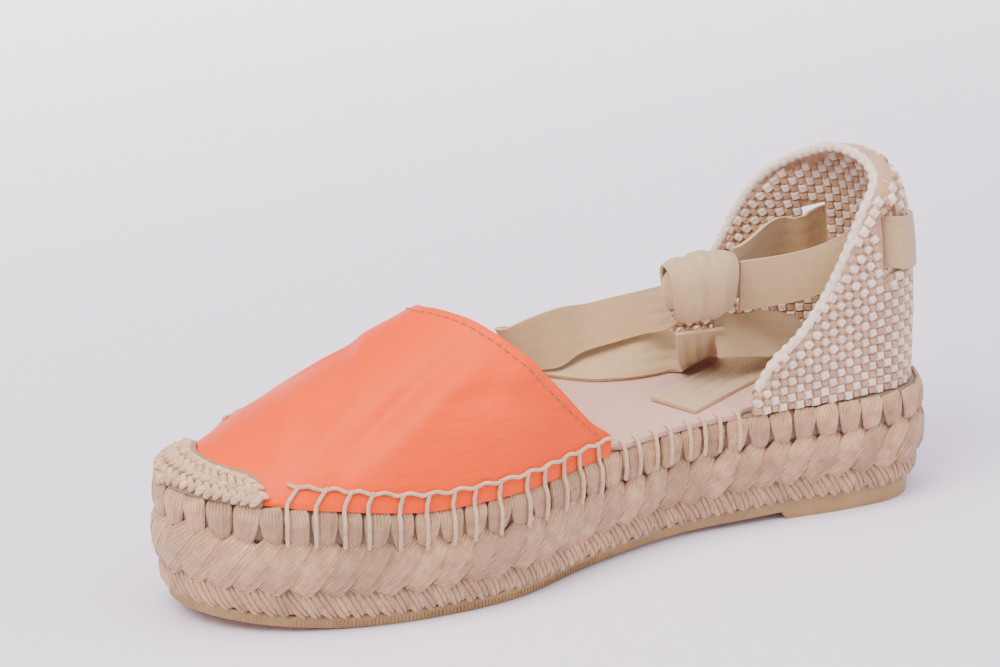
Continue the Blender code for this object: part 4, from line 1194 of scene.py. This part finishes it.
front = np.linspace(0, SLOT_SHARE - HALF_SLOT, 30)
back = np.linspace(SLOT_SHARE + HALF_SLOT, 1 - SLOT_SHARE - HALF_SLOT, 50)
shares = np.concatenate([front, back, 1 - front[::-1]])
inner_low, inner_high = slot_levels(SLOT_SHARE)
outer_low, outer_high = slot_levels(1 - SLOT_SHARE)
marks, steps = [0.0, outer_low, inner_low, outer_high, inner_high, 1.0], [14, 5, 6, 8, 12]
levels = np.concatenate([np.linspace(marks[k], marks[k + 1], steps[k] + 1)[:-1] for k in range(4)]
                        + [1 - (1 - marks[4]) * np.linspace(1, 0, steps[4] + 1) ** 2])
share_grid, level_grid = np.meshgrid(shares, levels)
outer = counter_place(share_grid, level_grid)
inner = outer - counter_normal(share_grid, level_grid) * COTTON
inner[0, :, 2] = outer[0, :, 2]
slot, last = len(front) - 1, len(shares) - 1
holes = ((sum(steps[:2]), sum(steps[:4]), slot, slot + 1),
         (steps[0], sum(steps[:3]), last - slot - 1, last - slot))
inset = counter_normal(share_grid, level_grid) * 0.0005
hold(make_piece("heel_weave", [wall_part(outer - inset, inner + inset, holes=holes)], tan_cotton),
     ["heel_counter"])

# %% [markdown]
# The cells of the weave are 2.8 mm wide, cream and tan by turns like a chess board, on the outside and
# the inside. Each is a small domed pillow with a furrow, set square to the wall, and the cream ones are
# fuller. A twisted cream cord binds the free edge.

# %% Cotton tufts and bound edge
CELL, TUFT_HEIGHT, SUNK = 0.0028, 0.0012, 0.0005


def pillow(length, width, height, cells=5):
    """A small closed pillow over the wall, with a furrow along its middle."""
    t = np.linspace(-1, 1, cells + 1)
    x, y = np.meshgrid(t, t)
    dome = ((1 - x ** 4) * (1 - y ** 4)) ** 0.5
    furrow = 1 - 0.22 * np.exp(-(y / 0.22) ** 2)
    top = np.stack([x * length / 2, y * width / 2, height * dome * furrow], -1)
    return wall_part(top, np.stack([x * length / 2, y * width / 2, 0 * x - 0.0002], -1))


def tuft_places(parity):
    """Every second cell of the weave on the wall: shares and levels, row by row at even heights."""
    found = []
    fine = np.linspace(0.004, 0.996, 800)
    base = deck(counter_foot(fine)[:, 0]) + FIT
    for row in range(40):
        z = base + (row + 0.5) * CELL * 0.97
        level = wall_share(fine, z)
        inside_wall = level < 0.985 - 0.02 * (row > 10)
        place = counter_place(fine, np.clip(level, 0, 1))
        run = run_along(place)
        run -= np.interp(0.5, fine, run)
        for k in range(-40, 41):
            want = k * CELL
            if (k + row) % 2 != parity or not run[0] < want < run[-1]:
                continue
            share = np.interp(want, run, fine)
            if not inside_wall[np.searchsorted(fine, share) - 1]:
                continue
            height = wall_share(np.array(share), np.interp(share, fine, z))
            found.append((share, float(height), row))
    found = np.array(found)
    keep = np.ones(len(found), bool)
    for middle in (SLOT_SHARE, 1 - SLOT_SHARE):
        low, high = slot_levels(middle)
        close = np.abs(found[:, 0] - middle) < HALF_SLOT * 1.35
        keep &= ~(close & (found[:, 1] > low - 0.02) & (found[:, 1] < high + 0.02))
    return found[keep]


def build_tufts(name, inside, parity, finish, fullness):
    cells = tuft_places(parity)
    share, level = cells[:, 0], cells[:, 1]
    place, out = counter_place(share, level), counter_normal(share, level)
    before, after = np.clip(share - 0.004, 0, 1), np.clip(share + 0.004, 0, 1)
    side = counter_place(after, level) - counter_place(before, level)
    side -= out * (side * out).sum(1)[:, None]
    if inside:
        place, out = place - out * (COTTON - SUNK), -out
    else:
        place = place - out * SUNK
    count = len(cells)
    grow = rng.uniform(0.94, 1.10, (count, 3)) * fullness
    piece = repeat_part(name, [pillow(CELL * 1.02, CELL * 1.0, TUFT_HEIGHT)], finish, place, side, out, grow,
                        rng.uniform(0.2, 1, count))
    hold(piece, [])


for side_name, inside in (("outside", False), ("inside", True)):
    build_tufts("heel_tufts_" + side_name, inside, 0, cream_cotton, 1.06)
    build_tufts("heel_ground_" + side_name, inside, 1, tan_cotton, 0.92)

edge_share = np.linspace(0, 1, 720)
edge_out = counter_normal(edge_share, 0 * edge_share + 0.98)
edge_line = counter_edge(edge_share) - edge_out * COTTON / 2
binding = tube_part(edge_line, 0.00145, around=12, lobes=2, depth=0.16, twist=1900)
hold(make_piece("heel_binding", [binding], cream_cotton), [])

# %% [markdown]
# The ribbon is a flat twill tape, 17 mm wide and 1 mm thick. One length comes from the knot, goes
# through a slot, round the outside of the heel and back through the other slot. Its rows are found on
# the wall itself, so it lies just off the cotton all the way round.

# %% Ribbon round the heel
KNOT_PLACE, KNOT_SIZE = np.array([0.054, 0.0005, 0.0720]), np.array([0.0245, 0.0170, 0.0215])
STRAND_TO_KNOT, STRAND_STEP, LEAD_PULL, INNER_DROP, OUTER_DROP = 0.0160, 0.0012, 0.0240, 0.0380, -0.0150


def strip_part(middle, thick=RIBBON):
    """A flat strip along rows of points, mapped in metres along and across."""
    normal = grid_normals(middle)
    return wall_part(middle + normal * thick / 2, middle - normal * thick / 2)


def lead_to_knot(start, heading, side, count=24):
    levels = np.linspace(-0.5, 0.5, len(start))[:, None]
    end = KNOT_PLACE + [KNOT_SIZE[0] / 2 + FIT, side * KNOT_SIZE[1] * 0.17, side * STRAND_STEP]
    end = end + levels * [[0, 0, STRAND_TO_KNOT]]
    heading = heading / np.linalg.norm(heading, axis=1)[:, None] * LEAD_PULL
    heading[:, 2] -= INNER_DROP if side < 0 else OUTER_DROP
    t = np.linspace(0, 1, count + 1)[1:, None, None]
    curve = (2 * t ** 3 - 3 * t ** 2 + 1) * start + (t ** 3 - 2 * t ** 2 + t) * heading
    return curve + (3 * t ** 2 - 2 * t ** 3) * end + (t ** 3 - t ** 2) * np.array([-LEAD_PULL, 0, 0])


levels = np.linspace(0, 1, 13)
outside, inside = RIBBON / 2 + BAND_EASE, -COTTON - RIBBON / 2 - BAND_EASE
path = [(-1.9, inside - 3 * BAND_EASE), (-0.80, inside - 2 * BAND_EASE), (-0.4, (3 * inside + outside) / 4),
        (0.4, (inside + 3 * outside) / 4), (0.95, outside)]
first = [(SLOT_SHARE + place * HALF_SLOT, offset) for place, offset in path]
leave = SLOT_SHARE + 1.3 * HALF_SLOT
around = [(share, outside) for share in np.linspace(leave, 1 - leave, 44)]
rows = []
for share, offset in first + around + [(1 - share, offset) for share, offset in reversed(first)]:
    z = band_height(share) + RIBBON_RISE * levels
    level = wall_share(share + 0 * z, z)
    rows.append(counter_place(share + 0 * z, level) + counter_normal(share + 0 * z, level) * offset)
rows = np.array(rows)
band = np.concatenate([lead_to_knot(rows[0], rows[0] - rows[1], -1)[::-1], rows,
                       lead_to_knot(rows[-1], rows[-1] - rows[-2], 1)])
hold(make_piece("ribbon_round_heel", [strip_part(band)], ribbon_twill), ["ribbon_band"])

# %% [markdown]
# The free ends of the ribbon are folded: each row of the tables gives both edges of the ribbon at one
# place along it, in millimetres, and a smooth curve runs through the rows.

# %% Free ribbon
LOOP = (
    # first edge x, y, z, second edge x, y, z
    (43.3, -5, 60.0, 60.0, -4.5, 58.8),
    (46.0, -1, 53.0, 63.0, 2, 52.0),
    (49.5, 4, 45.5, 67.0, 9, 45.5),
    (53.0, 9, 41.2, 70.0, 18, 42.5),
    (50.5, 12, 40.2, 61.0, 25, 46.0),
    (45.0, 12, 40.0, 51.5, 24.5, 49.0),
    (39.0, 12.5, 39.9, 45.0, 24, 48.5),
    (33.0, 14, 39.8, 38.0, 27, 46.5),
    (26.0, 17, 39.6, 29.5, 32, 44.5),
    (18.0, 24, 39.5, 22.0, 38, 44.0),
    (11.5, 30, 40.0, 12.0, 38.5, 51.5),
    (6.5, 31, 42.0, 1.5, 34.5, 55.0),
    (8.0, 28, 42.5, 1.5, 29.0, 56.5),
    (13.5, 27.5, 41.5, 11.5, 30.5, 58.0),
    (19.5, 25.5, 42.2, 22.0, 31.0, 59.5),
    (26.5, 25.5, 45.5, 31.0, 31.5, 59.0),
    (38.0, 22.5, 48.5, 41.0, 28.5, 61.0),
    (46.0, 20.0, 50.5, 48.0, 25.0, 63.0),
    (49.5, 12.5, 54.0, 51.0, 14.0, 68.5),
    (51.5, 8.0, 58.0, 53.0, 8.0, 72.0),
)
TAIL = (
    (58, -6, 50, 58, 0, 63),
    (69, -5, 48, 69, 2, 59.5),
    (76, -4.5, 46.5, 79, 6, 57.5),
    (85, -2.5, 44.5, 90, 10.5, 53),
    (92.5, 0.5, 43, 97, 14.5, 48.5),
    (96, 4.5, 41.6, 89.5, 19.5, 45),
    (88, 0.5, 40.7, 80.5, 16, 41.2),
    (75, -4.6, 40.4, 68, 10.8, 40.4),
    (61, -11, 40.2, 54, 4.6, 40.2),
    (42.6, -19.8, 40, 35.4, -4.4, 40),
)


def spline_rows(table, count):
    rows = np.asarray(table, float)
    run = np.concatenate([[0], np.cumsum(np.linalg.norm(np.diff(rows[:, :6], axis=0), axis=1) ** 0.5)])
    dense = np.linspace(0, run[-1], 900)
    fine = np.stack([flowing_curve(run, rows[:, k], dense) for k in range(rows.shape[1])], 1)
    return walk(fine, 0, 1, count) * 0.001


def free_ribbon(name, table, count, node_name):
    edges = spline_rows(table, count)
    share = np.linspace(0, 1, 11)[None, :, None]
    middle = edges[:, None, :3] * (1 - share) + edges[:, None, 3:] * share
    piece = make_piece(name, [strip_part(middle)], ribbon_twill)
    hold(piece, [node_name])
    return piece


free_ribbon("ribbon_bow_loop", LOOP, 110, "ribbon_loop")
free_ribbon("ribbon_free_end", TAIL, 90, "ribbon_tail")

# %% [markdown]
# The knot is the ribbon itself, wound once and a little more over a soft core. The wrap swells in its
# middle and has a few lengthwise folds, so it is a band with open ends and not a ball.

# %% Knot
AROUND, UPRIGHT = 48, 40
WRAP_START, WRAP_END, SQUARE = -2.3, 4.9, 2.6
u = np.linspace(0, 2 * np.pi, AROUND + 1)[:-1]
v = np.linspace(0.02, np.pi - 0.02, UPRIGHT)
uu, vv = np.meshgrid(u, v)
ball = np.stack([np.cos(uu) * np.sin(vv), np.sin(uu) * np.sin(vv), np.cos(vv)], -1)
ball = ball * (np.abs(ball) + 1e-9) ** -0.18
ball = ball * KNOT_SIZE * [0.5, 0.40, 0.40] + KNOT_PLACE
closed = np.concatenate([ball, ball[:, :1]], 1)
index = np.arange(UPRIGHT * AROUND).reshape(UPRIGHT, AROUND)
wrapped = np.concatenate([index, index[:, :1]], 1)
quads = np.stack([wrapped[:-1, :-1], wrapped[:-1, 1:], wrapped[1:, 1:], wrapped[1:, :-1]], -1).reshape(-1, 4)
part = grid_part(closed)
ends = [index[0, ::-1].tolist(), index[-1].tolist()]
knot = {"points": ball.reshape(-1, 3), "faces": quads.tolist() + ends,
        "maps": np.concatenate([part["maps"], np.zeros((2 * AROUND, 2))])}
half = KNOT_SIZE[0] / 2 * 0.90
turn, across = np.meshgrid(np.linspace(WRAP_START, WRAP_END, 110), np.linspace(-1, 1, 25), indexing="ij")
swell = 1.0 - 0.012 * (WRAP_END - turn) - 0.20 * np.abs(across) ** 3
swell += 0.035 * np.sin(7 * across + 1.3 * turn) * (1 - across ** 2)
swell -= 0.06 * np.exp(-((across + 0.55 - 0.18 * turn) / 0.10) ** 2)
squarish = (np.abs(np.cos(turn)) ** SQUARE + np.abs(np.sin(turn)) ** SQUARE) ** (-1 / SQUARE)
band = KNOT_PLACE + np.stack([
    half * across * (1 + 0.10 * np.sin(turn)) + 0.0012 * np.cos(turn),
    KNOT_SIZE[1] / 2 * np.cos(turn) * squarish * swell,
    KNOT_SIZE[2] / 2 * np.sin(turn) * squarish * swell,
], -1)
outward_side = facing_out(band)
run = np.stack([half * across, turn * KNOT_SIZE[2] / 2], -1)
wrap = wall_part(band, band - outward_side * 0.0010, run)
hold(make_piece("ribbon_wrap", [wrap], ribbon_twill), ["ribbon_knot"])
hold(make_piece("ribbon_inside_knot", [knot], ribbon_twill), [])

# %% [markdown]
# The toe cap is knotted jute. Its shell follows the leather a little way up from the toe, and rows of
# tight loops run round it. The shell has the dark core colour, which is painted shade between the loops.

# %% Toe cap
CAP_WALL, CAP_INNER, CAP_OUTER, CAP_REACH, CAP_RIM = 0.0022, 0.225, 0.150, 0.125, 0.005
CAP_CORE, LOOP_ROW, LOOP_GAP = 0.55, 0.0026, 0.0027


def cap_skin(rows, columns, lift):
    """Points over the leather under the cap, lifted off it, with the leather's own direction out."""
    foot, side = vamp_foot(400), np.linspace(-1, 1, 401)
    throat = throat_point(side)
    pick = (side >= -CAP_INNER) & (side <= CAP_OUTER)
    even = walk(np.column_stack([foot[pick], throat[pick], side[pick]]), 0, 1, columns)
    base, target, place = even[:, :2], even[:, 2:4], even[:, 4]
    place = np.where(place < 0, place / CAP_INNER, place / CAP_OUTER)
    reach = CAP_RIM + (CAP_REACH - CAP_RIM) * (1 - np.abs(place) ** 5)
    way = np.linspace(0, 1, rows) ** 1.6
    plan = base[None] + (target - base)[None] * (way[:, None] * reach[None])[..., None]
    height = vamp_surface(plan[..., 0], plan[..., 1])
    height[0] = deck(base[:, 0]) + FIT
    surface = np.concatenate([plan, height[..., None]], 2)
    out = facing_out(surface)
    lifted = surface + out * lift
    lifted[0, :, 2] = height[0]
    return lifted, out


outer = cap_skin(16, 70, FIT + CAP_WALL * CAP_CORE)[0]
inner = cap_skin(16, 70, FIT)[0]
# The shell under the loops has the dark core colour, painted shade between the loops.
hold(make_piece("cap_core", [rounded_wall(outer, inner)], jute_core), ["toe_cap"])
places, forwards, outs = [], [], []
skin, out = cap_skin(60, 281, FIT + CAP_WALL * CAP_CORE)
run_up = run_along(skin[:, 140])
row_count = int(run_up[-1] / LOOP_ROW)
for row in range(row_count):
    r = int(np.clip(np.searchsorted(run_up, (row + 0.6) * LOOP_ROW), 1, 58))
    line = skin[r]
    run = run_along(line)
    for k in np.arange(0.6 + 0.5 * (row % 2), run[-1] / LOOP_GAP - 0.4):
        c = int(np.clip(np.searchsorted(run, k * LOOP_GAP), 1, 279))
        across = line[c + 1] - line[c - 1]
        across /= np.linalg.norm(across)
        up = skin[r + 1, c] - skin[r - 1, c]
        up /= np.linalg.norm(up)
        places.append(line[c])
        forwards.append(across * 0.75 + up * (0.65 if row % 2 else -0.65))
        outs.append(out[r, c])
count = len(places)
hump = [(t * 0.0019, 0, 0.0007 * (1 - t ** 2) - 0.0004 * abs(t)) for t in np.linspace(-1, 1, 7)]
swelling = [0.0005, 0.0009, 0.00105, 0.0011, 0.00105, 0.0009, 0.0005]
yarn = tube_part(np.array(hump), swelling, around=8, lobes=3, depth=0.1, twist=900)
grow = rng.uniform(0.9, 1.15, (count, 3))
piece = repeat_part("cap_loops", [yarn], jute_knit, places, forwards, outs, grow, rng.uniform(0.2, 1, count))
hold(piece, [])

# %% [markdown]
# The dressed one may stand a little proud of the other, as yarn does, but not more.

# %% Finish
print("shoe dressed")
